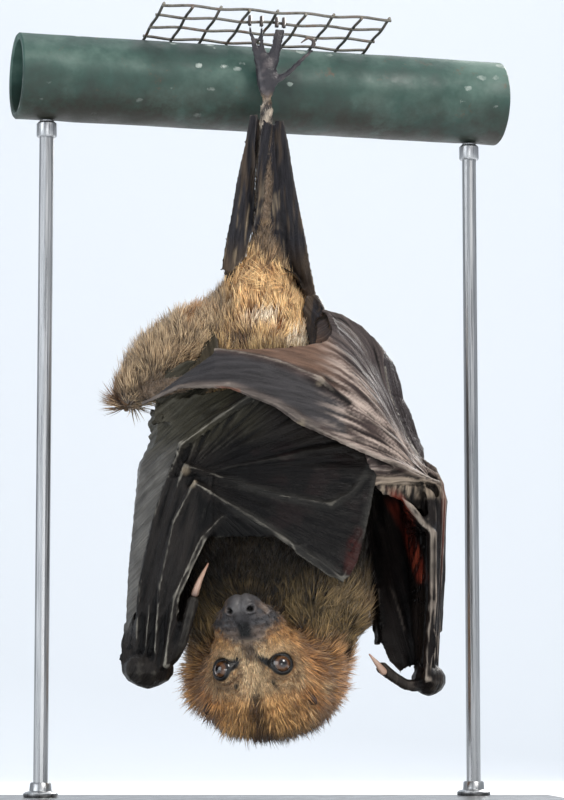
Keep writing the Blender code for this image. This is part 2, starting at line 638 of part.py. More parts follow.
def bone_radius(t):
    """Radius of a finger: palm bone, knuckle, first phalanx, joint, then a taper to the tip."""
    bone = METACARPAL_RADIUS if t < KNUCKLE else PHALANX_RADIUS
    if t > JOINT:
        bone = PHALANX_RADIUS + (FINGERTIP_RADIUS - PHALANX_RADIUS) * (t - JOINT) / (1 - JOINT)
    swell = max(0.0, 1 - abs(t - KNUCKLE) / 0.035) + 0.8 * max(0.0, 1 - abs(t - JOINT) / 0.035)
    return bone * (1 + (KNUCKLE_SWELL - 1) * swell)


FINGER_STATIONS = [0.0, 0.13, 0.27, 0.37, 0.4, 0.43, 0.51, 0.61, 0.72, 0.75, 0.78, 0.85, 0.93, 1.0]
INDEX_STATIONS = [0.0, 0.2, 0.36, 0.4, 0.45, 0.6, 0.8, 1.0]


def finger_curve(keys):
    return rail(keys, (KNUCKLE, JOINT))


def make_arm(side, trunk, neck):
    wing = WINGS[side]
    arm = rail({0: wing["shoulder"], 0.5: (wing["shoulder"] + wing["elbow"]) / 2 + V(0, 1.5, 0), 1: wing["elbow"]})
    upper = tube("upper_arm_" + side, arm, blend({0: UPPER_ARM_RADIUS, 0.6: 5.4, 1: 5.0}), steps(0, 1, 5),
                 "grey_fur", 9)
    trim(upper, trunk, neck)
    lower = rail({0: wing["elbow"], 0.5: (wing["elbow"] + wing["wrist"]) / 2 - wing["wing_bow"] * 0.3,
                  1: wing["wrist"]})
    radius = blend({0: 4.6, 0.2: FOREARM_RADIUS, 0.8: 3.3, 0.93: 3.4, 1: 4.4})
    forearm = tube("forearm_" + side, lower, radius, steps(0, 1, 7), "wing_skin", 8)
    wrist = ball("wrist_" + side, *wing["wrist_ball"], "wing_skin", 7, 10)
    trim(forearm, upper, wrist)
    return upper, forearm, wrist


def make_fingers(side, wrist, forearm):
    wing = WINGS[side]
    fingers = {}
    for number in (2, 3, 4, 5):
        name = "digit_%d" % number
        stations = INDEX_STATIONS if number == 2 else FINGER_STATIONS
        fingers[number] = tube(name + "_" + side, finger_curve(wing[name]), bone_radius, stations, "finger_skin", 5)
        trim(fingers[number], wrist, forearm)
    keys = {i / 3: p for i, p in enumerate(wing["thumb"])}
    thumb = tube("thumb_" + side, rail(keys), blend({0: 3.0, 0.33: 2.2, 0.66: 2.1, 1: 2.4}), steps(0, 1, 5),
                 "finger_skin", 6)
    trim(thumb, wrist, forearm, *[fingers[n] for n in (2, 3)])
    keys = {i / 2: p for i, p in enumerate(wing["thumb_claw"])}
    claw = tube("thumb_claw_" + side, rail(keys), blend({0: 1.5, 0.5: 1.1, 1: 0.35}), steps(0, 1, 4),
                "claw_horn", 6, flat=0.8)
    trim(claw, thumb)
    return thumb


def make_membranes(side, body, arm, thumb):
    """The panels of skin between thumb, fingers, arm, flank and leg."""
    wing = WINGS[side]
    names = {n: "digit_%d" % n for n in (2, 3, 4, 5)}
    curves = {n: finger_curve(wing[name]) for n, name in names.items()}
    bones = {n: bpy.data.objects["%s_%s" % (name, side)] for n, name in names.items()}

    def finger(t):
        return bone_radius(t) + SKIN_THICKNESS / 2

    def forearm(t):
        return FOREARM_RADIUS + SKIN_THICKNESS / 2

    def free(t):
        return 0.0

    panel = web("membrane_2_3_" + side, [curves[2], curves[3]], (finger, finger), span=(0.1, 0.44), rows=8, columns=2)
    trim(panel, thumb, bones[2], bones[3])
    panel = web("membrane_3_4_" + side, [curves[3], curves[4]], (finger, finger), span=(0.09, 0.99), rows=13, columns=2)
    trim(panel, bones[3], bones[4])
    middle = [rail(wing["fold"])] if wing["fold"] else []
    panel = web("membrane_4_5_" + side, [curves[4]] + middle + [curves[5]], (finger, finger), span=(0.09, 0.99),
                rows=13, columns=4)
    trim(panel, bones[4], bones[5])
    outer = web("plagiopatagium_" + side, [curves[5], rail(wing["side_bow"]), rail(wing["side_back"])],
                (finger, forearm), span=(0.09, 1.0), rows=10, columns=4)
    trim(outer, bones[5], *arm, *body)
    back = web("dorsal_membrane_" + side, [rail(wing["arm_line"], (0.6, 0.7)), rail(wing["flank"])],
               (lambda t: UPPER_ARM_RADIUS, free), span=(0.12, 0.97), rows=6, columns=3,
               pleat=lambda t, s: 2.0 * math.sin(math.pi * s))
    trim(back, *arm, *body)
    lower_arm = rail({0: wing["wrist"], 1: wing["elbow"]})
    front = web("propatagium_" + side, [rail(wing["leading_edge"]), lower_arm],
                (free, forearm), span=(0.08, 0.76), rows=7, columns=2)
    trim(front, *arm, thumb, *body)


def make_leg_membranes(body):
    """Skin from the legs to the rump and flanks."""

    def free(t):
        return 0.0

    def shank_bone(t):
        return 3.4

    shank = rail({0: V(-1.6, -2.6, 290), 0.5: V(-3.0, 1, 255), 1: V(-4, 3, 226)})
    edge = rail({0: V(-8.6, -2.4, 290.0), 0.5: V(-14.5, -4, 258), 1: V(-20.5, -8, 224)})
    tail_web = web("uropatagium_right", [edge, shank], (free, shank_bone), rows=6, columns=3,
                   pleat=lambda t, s: 0.6 * math.sin(3 * math.pi * s))
    trim(tail_web, *body)
    edge = rail({0: V(5.8, 0.5, 288.0), 0.45: V(12.4, 3, 253), 0.85: V(18.6, -3, 216), 1: V(21.2, -12, 209)})
    line = rail({0: V(-1.2, -1.6, 288), 0.5: V(1.5, 7, 250), 1: V(10, 14, 212)})
    strip = web("leg_membrane_right", [line, edge], (shank_bone, free), rows=7, columns=3,
                pleat=lambda t, s: 0.6 * math.sin(3 * math.pi * s))
    trim(strip, *body)
    inner = rail({0: V(-22.0, -15.5, 200), 0.5: V(-20.5, -22, 188), 1: V(-21.0, -30, 179)})
    outer = rail({0: V(-25.0, -14.5, 200), 0.5: V(-28.5, -20, 188), 1: V(-35.0, -27, 179)})
    fold = web("leg_membrane_left", [outer, inner], (free, free), rows=6, columns=3)
    trim(fold, *body)


# ---------------------------------------------------------------- the model

def make_bat():
    head, muzzle, nose = make_head()
    eyes = make_eyes()
    trim(head, *eyes)
    trunk = trim(make_trunk(), head, muzzle, nose)
    neck = trim(make_neck(), head, muzzle, nose)
    for ear in make_ears():
        trim(ear, head, neck)
    thighs = {}
    for side in ("right", "left"):
        curve, radius = THIGHS[side]
        thighs[side] = tube("thigh_" + side, curve, radius, steps(0, 1, 5), "golden_fur" if side == "right"
                            else "grey_fur", 11)
        trim(thighs[side], trunk)
    trim(thighs["left"], thighs["right"])
    shanks = {}
    for side in ("right", "left"):
        curve, radius = SHANKS[side]
        shanks[side] = tube("shank_" + side, curve, radius, steps(0, 1, 4), "bare_skin", 8)
        trim(shanks[side], thighs[side])
    right_foot = trim(make_foot("right", RIGHT_FOOT, gripping_toes(), GRIP_OUTER), shanks["right"])
    left_foot = trim(make_foot("left", LEFT_FOOT, resting_toes(), REST_OUTER), shanks["left"])
    make_grip_claws(right_foot)
    body = [trunk, neck, head, thighs["right"], thighs["left"], shanks["right"], shanks["left"], left_foot]
    for side in ("right", "left"):
        arm = make_arm(side, trunk, neck)
        thumb = make_fingers(side, arm[2], arm[1])
        make_membranes(side, body, arm, thumb)
    make_leg_membranes(body)


for old in list(bpy.data.objects):
    bpy.data.objects.remove(old)
make_stand()
make_pipe()
make_netting()
make_bat()
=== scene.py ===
"""Rodrigues fruit bat at roost on its display stand: the finish of every surface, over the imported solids.

X runs to the right as the model is looked at, Y away from the viewer and Z up, in metres. The sections
are written in millimetres, which MM turns into metres.
"""
import json
import math

import bmesh
import bpy
import numpy as np
from mathutils import Matrix, Vector, noise
from mathutils.bvhtree import BVHTree

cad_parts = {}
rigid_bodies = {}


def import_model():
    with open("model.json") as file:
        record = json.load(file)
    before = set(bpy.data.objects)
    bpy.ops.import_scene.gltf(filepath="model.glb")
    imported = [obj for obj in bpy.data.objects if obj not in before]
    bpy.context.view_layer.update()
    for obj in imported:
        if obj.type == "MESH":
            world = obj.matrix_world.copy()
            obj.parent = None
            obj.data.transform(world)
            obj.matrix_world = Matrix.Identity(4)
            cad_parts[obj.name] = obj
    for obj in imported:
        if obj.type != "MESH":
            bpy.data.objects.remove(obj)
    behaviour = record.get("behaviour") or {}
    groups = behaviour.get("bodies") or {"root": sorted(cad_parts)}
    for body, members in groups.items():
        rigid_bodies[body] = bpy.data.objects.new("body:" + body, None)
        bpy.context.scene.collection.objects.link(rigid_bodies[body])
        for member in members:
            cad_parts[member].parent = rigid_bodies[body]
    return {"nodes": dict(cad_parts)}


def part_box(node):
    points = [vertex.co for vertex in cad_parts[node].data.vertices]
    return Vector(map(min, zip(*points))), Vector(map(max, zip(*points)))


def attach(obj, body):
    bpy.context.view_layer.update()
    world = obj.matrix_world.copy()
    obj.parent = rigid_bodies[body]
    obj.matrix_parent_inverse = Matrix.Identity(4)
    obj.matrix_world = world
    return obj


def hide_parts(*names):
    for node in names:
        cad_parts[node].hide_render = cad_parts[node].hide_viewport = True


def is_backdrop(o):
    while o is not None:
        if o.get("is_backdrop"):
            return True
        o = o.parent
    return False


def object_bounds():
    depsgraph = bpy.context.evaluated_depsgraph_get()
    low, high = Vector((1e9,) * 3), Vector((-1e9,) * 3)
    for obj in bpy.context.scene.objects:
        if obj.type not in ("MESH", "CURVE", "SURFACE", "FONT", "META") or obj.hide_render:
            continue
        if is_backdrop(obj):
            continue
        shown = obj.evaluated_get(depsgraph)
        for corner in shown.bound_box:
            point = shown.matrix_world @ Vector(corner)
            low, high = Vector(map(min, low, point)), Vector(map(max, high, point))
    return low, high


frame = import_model()
cad_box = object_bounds()
MM = 0.001

# ---------------------------------------------------------------- studio
# A pale floor that curves up into a pale wall, large soft lights from the upper right and the left, and a
# camera with a long lens that looks a little upwards at the bat from just above the floor.

VIEW_AIM = Vector((0.0049, 0.0, 0.1715))
VIEW_FROM = Vector((0.0049, -1.2, 0.030))
FOCAL_MM = 132.6

lens = bpy.data.cameras.new("camera")
lens.lens = FOCAL_MM
lens.sensor_width = 36.0
lens.clip_start = 0.05
lens.clip_end = 30.0
camera = bpy.data.objects.new("camera", lens)
camera.location = VIEW_FROM
camera.rotation_euler = (VIEW_AIM - VIEW_FROM).to_track_quat("-Z", "Y").to_euler()
bpy.context.scene.collection.objects.link(camera)
bpy.context.scene.camera = camera
bpy.context.scene.view_settings.view_transform = "Standard"


def area_light(name, place, aim, size, power, colour=(1.0, 1.0, 1.0)):
    """A square soft light at place that faces aim."""
    lamp = bpy.data.lights.new(name, "AREA")
    lamp.size = size
    lamp.energy = power
    lamp.color = colour
    holder = bpy.data.objects.new(name, lamp)
    holder.location = place
    holder.rotation_euler = (Vector(aim) - Vector(place)).to_track_quat("-Z", "Y").to_euler()
    bpy.context.scene.collection.objects.link(holder)


area_light("key", (0.75, -0.95, 1.15), (0, 0, 0.18), 0.55, 17.0, (1.0, 0.965, 0.92))
area_light("fill", (-1.15, -0.9, 0.45), (0, 0, 0.17), 0.9, 8.0, (0.93, 0.965, 1.0))
area_light("rim", (0.55, 0.95, 0.85), (0, 0, 0.2), 0.5, 15.0, (1.0, 0.97, 0.93))
area_light("face", (0.1, -1.2, 0.08), (0, 0, 0.1), 0.35, 2.2)
area_light("wall", (0.0, 0.7, 2.3), (0, 2.4, 0.3), 1.8, 26.0)

world = bpy.data.worlds.new("studio")
world.use_nodes = True
world.node_tree.nodes["Background"].inputs["Color"].default_value = (0.80, 0.86, 0.95, 1.0)
world.node_tree.nodes["Background"].inputs["Strength"].default_value = 0.55
bpy.context.scene.world = world


def sweep(width, front, back, height, bend, steps=16):
    """A floor from front to back that turns up into a wall."""
    profile = [(front, 0.0)]
    for k in range(steps + 1):
        a = math.pi / 2 * k / steps
        profile.append((back - bend + bend * math.sin(a), bend - bend * math.cos(a)))
    profile.append((back, height))
    verts = [(x, y, z) for y, z in profile for x in (-width / 2, width / 2)]
    faces = [(2 * k, 2 * k + 1, 2 * k + 3, 2 * k + 2) for k in range(len(profile) - 1)]
    mesh = bpy.data.meshes.new("backdrop")
    mesh.from_pydata(verts, [], faces)
    mesh.shade_smooth()
    return bpy.data.objects.new("backdrop", mesh)


backdrop = sweep(7.0, -2.6, 2.4, 4.0, 0.9)
bpy.context.scene.collection.objects.link(backdrop)
backdrop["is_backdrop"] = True
paper = bpy.data.materials.new("studio_paper")
paper.use_nodes = True
paper.node_tree.nodes["Principled BSDF"].inputs["Base Color"].default_value = (0.80, 0.83, 0.86, 1.0)
paper.node_tree.nodes["Principled BSDF"].inputs["Roughness"].default_value = 0.9
backdrop.data.materials.append(paper)

# ---------------------------------------------------------------- stand
# A lacquered wooden base with two satin steel rods that hold up the perch. Each rod stands in a turned
# ferrule, and a small cradle on its top takes the pipe.


def srgb(red, green, blue):
    """A colour given in 0 to 255, as Blender's linear values."""
    return tuple((c / 255.0) ** 2.2 for c in (red, green, blue)) + (1.0,)


def finish(name, **sockets):
    """A Principled material, its node tree and its shader, with fixed socket values."""
    material = bpy.data.materials.new(name)
    material.use_nodes = True
    tree = material.node_tree
    shader = tree.nodes["Principled BSDF"]
    for socket, value in sockets.items():
        shader.inputs[socket.replace("_", " ")].default_value = value
    return material, tree, shader


def step(tree, kind, wires=None, **settings):
    """One node of a tree; wires maps an input's name or number to a value or to a socket."""
    made = tree.nodes.new(kind)
    for key, value in settings.items():
        setattr(made, key, value)
    for key, value in (wires or {}).items():
        if isinstance(value, bpy.types.NodeSocket):
            tree.links.new(value, made.inputs[key])
        else:
            made.inputs[key].default_value = value
    return made


def object_place(tree, scale=(1.0, 1.0, 1.0)):
    """Object coordinates, stretched by scale."""
    place = step(tree, "ShaderNodeTexCoord").outputs["Object"]
    return step(tree, "ShaderNodeMapping", {"Vector": place, "Scale": scale}).outputs["Vector"]


def grain(tree, place, scale, detail=4.0, rough=0.55, bend=0.0):
    """Fractal noise."""
    return step(tree, "ShaderNodeTexNoise", {"Vector": place, "Scale": scale, "Detail": detail,
                                             "Roughness": rough, "Distortion": bend}).outputs["Fac"]


def ramp(tree, value, *stops):
    """A colour ramp; each stop is (position, colour or grey value)."""
    made = step(tree, "ShaderNodeValToRGB", {"Fac": value})
    made.color_ramp.elements.remove(made.color_ramp.elements[1])
    for k, (position, colour) in enumerate(stops):
        stop = made.color_ramp.elements[0] if k == 0 else made.color_ramp.elements.new(position)
        stop.position = position
        stop.color = colour if isinstance(colour, tuple) else (colour, colour, colour, 1.0)
    return made.outputs["Color"]


def mix(tree, share, first, second, how="MIX"):
    """Two colours mixed by share."""
    made = step(tree, "ShaderNodeMix", data_type="RGBA", blend_type=how)
    for key, value in ((0, share), (6, first), (7, second)):
        if isinstance(value, bpy.types.NodeSocket):
            tree.links.new(value, made.inputs[key])
        else:
            made.inputs[key].default_value = value
    return made.outputs[2]


def rescale(tree, value, low, high, to_low=0.0, to_high=1.0):
    """The value moved from the range low to high to another, and held inside it."""
    wires = {"Value": value, "From Min": low, "From Max": high, "To Min": to_low, "To Max": to_high}
    return step(tree, "ShaderNodeMapRange", wires).outputs["Result"]


def feed(tree, shader, **sockets):
    """Runs each value into the shader's socket of that name."""
    for socket, value in sockets.items():
        tree.links.new(value, shader.inputs[socket.replace("_", " ")])


def bump(tree, shader, height, depth, strength=1.0):
    """Relief of the given depth in metres, over what relief the shader already has."""
    wires = {"Height": height, "Distance": depth, "Strength": strength}
    if shader.inputs["Normal"].is_linked:
        wires["Normal"] = shader.inputs["Normal"].links[0].from_socket
    made = step(tree, "ShaderNodeBump", wires)
    tree.links.new(made.outputs["Normal"], shader.inputs["Normal"])


def lacquer():
    material, tree, shader = finish("black_lacquer", Roughness=0.3, Coat_Weight=0.25, Coat_Roughness=0.12)
    place = object_place(tree)
    wear = grain(tree, place, 38.0, 6.0)
    feed(tree, shader, Base_Color=ramp(tree, wear, (0.3, srgb(34, 33, 33)), (0.7, srgb(46, 45, 44))))
    feed(tree, shader, Roughness=ramp(tree, grain(tree, place, 160.0), (0.35, 0.26), (0.75, 0.42)))
    bump(tree, shader, grain(tree, object_place(tree, (12.0, 90.0, 90.0)), 9.0, 5.0), 0.00006)
    return material


def satin_steel():
    material, tree, shader = finish("satin_steel", Metallic=1.0, Roughness=0.3)
    brushed = grain(tree, object_place(tree, (900.0, 900.0, 14.0)), 2.0, 3.0)
    grey = ramp(tree, brushed, (0.3, srgb(150, 151, 152)), (0.7, srgb(186, 187, 188)))
    feed(tree, shader, Base_Color=grey)
    feed(tree, shader, Roughness=ramp(tree, brushed, (0.3, 0.24), (0.7, 0.42)))
    bump(tree, shader, brushed, 0.00002)
    return material


def dress(name, material):
    """Gives a CAD node its finish."""
    data = frame["nodes"][name].data
    data.materials.clear()
    data.materials.append(material)


def piece(name, mesh, slot_name, *stands_for):
    """A finished piece on the one body that the model has."""
    made = bpy.data.objects.new(name, mesh)
    bpy.context.scene.collection.objects.link(made)
    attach(made, "root")
    if stands_for:
        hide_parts(*stands_for)
    return made


def lathe(name, profile, sides, turn):
    """A closed turned solid from (radius, height) points, placed by the matrix turn."""
    verts, faces = [], []
    for radius, height in profile:
        for k in range(sides):
            a = 2 * math.pi * k / sides
            verts.append(turn @ Vector((radius * math.cos(a), radius * math.sin(a), height)))
    for r in range(len(profile) - 1):
        for k in range(sides):
            a, b = r * sides + k, r * sides + (k + 1) % sides
            faces.append((a, b, b + sides, a + sides))
    mesh = bpy.data.meshes.new(name)
    mesh.from_pydata(verts, [], faces)
    work = bmesh.new()
    work.from_mesh(mesh)
    bmesh.ops.remove_doubles(work, verts=work.verts, dist=1e-7)
    bmesh.ops.recalc_face_normals(work, faces=work.faces)
    work.to_mesh(mesh)
    work.free()
    mesh.shade_smooth()
    mesh.set_sharp_from_angle(angle=math.radians(40))
    return mesh


# Profiles as (radius, height), the ferrule's from the base up and the cradle's from the rod's top.
FERRULE = ((0.0, 0.0), (6.6, 0.0), (7.0, 0.5), (7.0, 1.6), (6.2, 2.2), (4.6, 2.6), (4.3, 5.4), (3.9, 6.0),
           (0.0, 6.0))
CRADLE = ((0.0, -7.0), (3.8, -7.0), (4.2, -6.4), (4.2, -1.4), (3.4, -0.6), (0.0, -0.6))
RING_SIDES = 40
base_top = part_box("stand_base")[1].z
dress("stand_base", lacquer())
steel = satin_steel()
for side in ("left", "right"):
    rod = "stand_rod_" + side
    dress(rod, steel)
    low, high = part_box(rod)
    foot = Vector(((low.x + high.x) / 2, (low.y + high.y) / 2, base_top))
    top = Vector((foot.x, foot.y, high.z))
    for name, profile, at in (("stand_ferrule_", FERRULE, foot), ("stand_cradle_", CRADLE, top)):
        ring = lathe(name + side, [(r * MM, h * MM) for r, h in profile], RING_SIDES, Matrix.Translation(at))
        piece(name + side, ring, "rod_steel").data.materials.append(steel)

# ---------------------------------------------------------------- perch pipe
# A cut length of thick steel pipe in weathered green paint: pale primer shows in small chips, rust in
# larger spots, and the paint is darker and blotchy towards its underside. It rests in the two cradles.

pipe_node = frame["nodes"]["perch_pipe"]
pipe_points = np.array([v.co for v in pipe_node.data.vertices])
pipe_middle = Vector(pipe_points.mean(axis=0))
pipe_way = Vector(np.linalg.svd(pipe_points - pipe_points.mean(axis=0), full_matrices=False)[2][0])
if pipe_way.x < 0:
    pipe_way.negate()
along = (pipe_points - np.array(pipe_middle)) @ np.array(pipe_way)
out = np.linalg.norm(pipe_points - np.array(pipe_middle) - along[:, None] * np.array(pipe_way), axis=1)
PIPE_HALF, PIPE_OUTER, PIPE_BORE = along.max(), out.max(), out.min()
PIPE_EDGE = 0.6 * MM
PIPE_SIDES = 96
DENT = 0.16
pipe_up = Vector((0, 0, 1))
pipe_side = pipe_up.cross(pipe_way).normalized()
pipe_turn = Matrix.Translation(pipe_middle) @ Matrix((pipe_side, pipe_up, pipe_way)).transposed().to_4x4()


def wall_points(radius, edge, count):
    """(radius, height) points along the pipe, from end to end."""
    return [(radius, -PIPE_HALF + edge + (2 * PIPE_HALF - 2 * edge) * k / count) for k in range(count + 1)]


outer = wall_points(PIPE_OUTER, PIPE_EDGE, 60)
inner = wall_points(PIPE_BORE, PIPE_EDGE, 12)[::-1]
rims = [(PIPE_OUTER - PIPE_EDGE, PIPE_HALF), (PIPE_BORE + PIPE_EDGE, PIPE_HALF)]
far_rims = [(radius, -PIPE_HALF) for radius, _ in rims[::-1]]
pipe_mesh = lathe("perch_pipe_wall", outer + rims + inner + far_rims + [outer[0]], PIPE_SIDES, pipe_turn)
for vert in pipe_mesh.vertices:
    spot = vert.co - pipe_middle
    away = spot - pipe_way * spot.dot(pipe_way)
    if away.length > (PIPE_OUTER + PIPE_BORE) / 2:
        dent = noise.fractal(spot * 60.0, 0.8, 2.0, 3) * DENT - DENT
        vert.co += away.normalized() * dent * MM


def number_of(tree, operation, first, second=None, clamp=False):
    """A calculation with one or two numbers."""
    wires = {0: first} if second is None else {0: first, 1: second}
    return step(tree, "ShaderNodeMath", wires, operation=operation, use_clamp=clamp).outputs["Value"]


def flaking_paint():
    material, tree, shader = finish("flaking_green_paint", Roughness=0.5)
    place = object_place(tree)
    tone = grain(tree, place, 26.0, 5.0, 0.6)
    green = ramp(tree, tone, (0.3, srgb(20, 40, 36)), (0.5, srgb(40, 70, 62)), (0.72, srgb(88, 112, 102)))
    stretched = object_place(tree, (1.0, 1.0, 1.6))
    chip_field = step(tree, "ShaderNodeTexVoronoi", {"Vector": stretched, "Scale": 85.0})
    ragged = grain(tree, place, 46.0, 9.0, 0.75)
    chips = number_of(tree, "SUBTRACT", ragged, chip_field.outputs["Distance"])
    worn = rescale(tree, grain(tree, place, 17.0, 3.0), 0.4, 0.65, -0.08, 0.09)
    chips = number_of(tree, "ADD", chips, worn)
    chipped = ramp(tree, chips, (0.36, 0.0), (0.42, 0.85))
    primer = ramp(tree, grain(tree, place, 320.0), (0.35, srgb(104, 122, 114)), (0.7, srgb(172, 180, 172)))
    colour = mix(tree, chipped, green, primer)
    rust_share = ramp(tree, grain(tree, place, 48.0, 9.0, 0.8), (0.60, 0.0), (0.68, 0.75))
    colour = mix(tree, rust_share, colour, srgb(92, 62, 42))
    height = step(tree, "ShaderNodeSeparateXYZ", {"Vector": place}).outputs["Z"]
    # The paint is darker and blotchy towards the bottom of the pipe.
    low = rescale(tree, height, pipe_middle.z - PIPE_OUTER, pipe_middle.z + PIPE_OUTER * 0.15, 1.0, 0.0)
    blots = ramp(tree, grain(tree, place, 60.0, 7.0, 0.7), (0.25, 0.2), (0.6, 1.3))
    darker_underside = number_of(tree, "MULTIPLY", low, blots, clamp=True)
    feed(tree, shader, Base_Color=mix(tree, darker_underside, colour, srgb(34, 34, 24)))
    feed(tree, shader, Roughness=ramp(tree, ragged, (0.3, 0.38), (0.7, 0.72)))
    bump(tree, shader, ramp(tree, chips, (0.36, 1.0), (0.48, 0.0)), 0.00016)
    bump(tree, shader, grain(tree, place, 420.0, 6.0, 0.7), 0.00012, 0.7)
    return material


piece("perch_pipe_wall", pipe_mesh, "pipe_paint", "perch_pipe")
pipe_mesh.materials.append(flaking_paint())

# ---------------------------------------------------------------- perch netting
# A cut piece of woven square-mesh wire, galvanized and weathered: two sets of crimped wires that pass over
# and under each other. It lies on the pipe and rises towards the viewer, and the toes hook one of its wires.

net_points = np.array([v.co for v in frame["nodes"]["perch_netting"].data.vertices])
net_axes = np.linalg.svd(net_points - net_points.mean(axis=0), full_matrices=False)[2]
net_long, net_deep = Vector(net_axes[0]), Vector(net_axes[1])
if net_long.x < 0:
    net_long.negate()
net_up = net_long.cross(net_deep)
if net_up.z < 0:
    net_deep.negate()
    net_up.negate()
spans = [(net_points @ np.array(axis)) for axis in (net_long, net_deep, net_up)]
NET_WIRE = spans[2].max() - spans[2].min()
NET_CELL = 12.0 * MM
CELL_STEPS = 6
WIRE_CRIMP = NET_WIRE * 0.28
WIRE_RADIUS = NET_WIRE * 0.42
WIRE_SIDES = 10
net_turn = Matrix((net_long, net_deep, net_up)).transposed().to_4x4()


def net_lines(values):
    """Middles of the wires along one way of the net."""
    first, last = values.min() + NET_WIRE / 2, values.max() - NET_WIRE / 2
    return [first + NET_CELL * k for k in range(round((last - first) / NET_CELL) + 1)]


def open_tree(name, output, **inputs):
    """A Geometry Nodes tree with named inputs of the given kinds, and the node that they come in by."""
    tree = bpy.data.node_groups.new(name, "GeometryNodeTree")
    for socket, kind in inputs.items():
        tree.interface.new_socket(socket.replace("_", " "), in_out="INPUT", socket_type="NodeSocket" + kind)
    tree.interface.new_socket(output, in_out="OUTPUT", socket_type="NodeSocketGeometry")
    return tree, tree.nodes.new("NodeGroupInput")


def close_tree(tree, geometry, material):
    """Ends a tree with the piece in its material."""
    dressed = step(tree, "GeometryNodeSetMaterial", {"Geometry": geometry, "Material": material})
    tree.links.new(dressed.outputs["Geometry"], tree.nodes.new("NodeGroupOutput").inputs[0])
    return tree


def wire_tree():
    """Wires along paths: a ring swept over each curve."""
    tree, entry = open_tree("net wires", "Wires", Paths="Geometry", Wire_radius="Float", Finish="Material")
    curves = step(tree, "GeometryNodeMeshToCurve", {"Mesh": entry.outputs["Paths"]})
    ring = step(tree, "GeometryNodeCurvePrimitiveCircle",
                {"Resolution": WIRE_SIDES, "Radius": entry.outputs["Wire radius"]})
    wires = {"Curve": curves.outputs["Curve"], "Profile Curve": ring.outputs["Curve"], "Fill Caps": True}
    swept = step(tree, "GeometryNodeCurveToMesh", wires)
    smooth = step(tree, "GeometryNodeSetShadeSmooth", {"Geometry": swept.outputs["Mesh"]})
    real = step(tree, "GeometryNodeRealizeInstances", {"Geometry": smooth.outputs["Geometry"]})
    return close_tree(tree, real.outputs["Geometry"], entry.outputs["Finish"])


def grown(name, mesh, tree, **inputs):
    """The mesh that a Geometry Nodes tree makes from another; its inputs are set by socket identifier."""
    seed = bpy.data.objects.new(name + "_seed", mesh)
    bpy.context.scene.collection.objects.link(seed)
    modifier = seed.modifiers.new("Grow", "NODES")
    modifier.node_group = tree
    sockets = {item.name: item.identifier for item in tree.interface.items_tree if item.in_out == "INPUT"}
    for key, value in inputs.items():
        modifier[sockets[key.replace("_", " ")]] = value
    graph = bpy.context.evaluated_depsgraph_get()
    made = bpy.data.meshes.new_from_object(seed.evaluated_get(graph))
    made.name = name
    seed.modifiers.clear()
    bpy.data.objects.remove(seed)
    return made


def weathered_wire():
    material, tree, shader = finish("weathered_wire", Metallic=0.75, Roughness=0.5)
    place = object_place(tree)
    patch = grain(tree, place, 130.0, 7.0, 0.7)
    zinc = ramp(tree, patch, (0.35, srgb(70, 66, 60)), (0.52, srgb(112, 110, 104)), (0.66, srgb(92, 62, 44)))
    feed(tree, shader, Base_Color=zinc)
    feed(tree, shader, Roughness=ramp(tree, patch, (0.4, 0.42), (0.7, 0.8)))
    feed(tree, shader, Metallic=ramp(tree, patch, (0.5, 0.85), (0.66, 0.1)))
    bump(tree, shader, grain(tree, place, 900.0, 4.0), 0.00008)
    return material


columns, rows = net_lines(spans[0]), net_lines(spans[1])
level = (spans[2].max() + spans[2].min()) / 2
verts, edges = [], []
for across, ends, crossing in ((columns, spans[1], rows), (rows, spans[0], columns)):
    for line, fixed in enumerate(across):
        count = CELL_STEPS * (len(crossing) - 1)
        start = len(verts)
        for k in range(-2, count + 3):
            run = crossing[0] + NET_CELL * k / CELL_STEPS
            run = min(max(run, ends.min()), ends.max())
            phase = math.cos(math.pi * (run - crossing[0]) / NET_CELL + math.pi * line)
            lift = level + WIRE_CRIMP * phase * (1 if across is columns else -1)
            spot = (fixed, run, lift) if across is columns else (run, fixed, lift)
            if len(verts) > start and (Vector(spot) - last_spot).length < 1e-6:
                continue
            last_spot = Vector(spot)
            verts.append(net_turn @ last_spot)
            if len(verts) - 1 > start:
                edges.append((len(verts) - 2, len(verts) - 1))
paths = bpy.data.meshes.new("net_paths")
paths.from_pydata(verts, edges, [])
net_mesh = grown("perch_net_wires", paths, wire_tree(), Wire_radius=WIRE_RADIUS, Finish=weathered_wire())
piece("perch_net_wires", net_mesh, "galvanized_wire", "perch_netting")

# ---------------------------------------------------------------- body skin
# One skin over head, neck, trunk, upper arms and legs, with no seam. It lies below the outline by the depth
# of the coat, is bare on muzzle, nose, shanks and feet, and is folded round the eyes, nostrils and mouth.

FLESH = ("head", "muzzle", "nose", "neck", "trunk", "thigh_left", "thigh_right", "upper_arm_left",
         "upper_arm_right", "shank_left", "shank_right", "foot_left", "foot_right")
EYES = ("eye_left", "eye_right")
SKIN_VOXEL = 0.97 * MM
CLOSE_GAPS = 0.32 * MM
COAT_DEPTH = {"head": 3.4, "muzzle": 0.35, "nose": 0.25, "neck": 4.6, "trunk": 4.2, "thigh_left": 4.6,
              "thigh_right": 2.8, "upper_arm_left": 1.6, "upper_arm_right": 1.6, "shank_left": 0.5,
              "shank_right": 0.5, "foot_left": 0.3, "foot_right": 0.3}


def joined(names, swell=0.0, extras=()):
    """CAD nodes and extra meshes in one mesh, their corners merged and each pushed out by swell."""
    work = bmesh.new()
    for data in [frame["nodes"][name].data for name in names] + list(extras):
        work.from_mesh(data)
    bmesh.ops.remove_doubles(work, verts=work.verts, dist=1e-5)
    work.normal_update()
    for vert in work.verts:
        vert.co += vert.normal * swell
    mesh = bpy.data.meshes.new("joined")
    work.to_mesh(mesh)
    work.free()
    mesh.materials.clear()
    return mesh


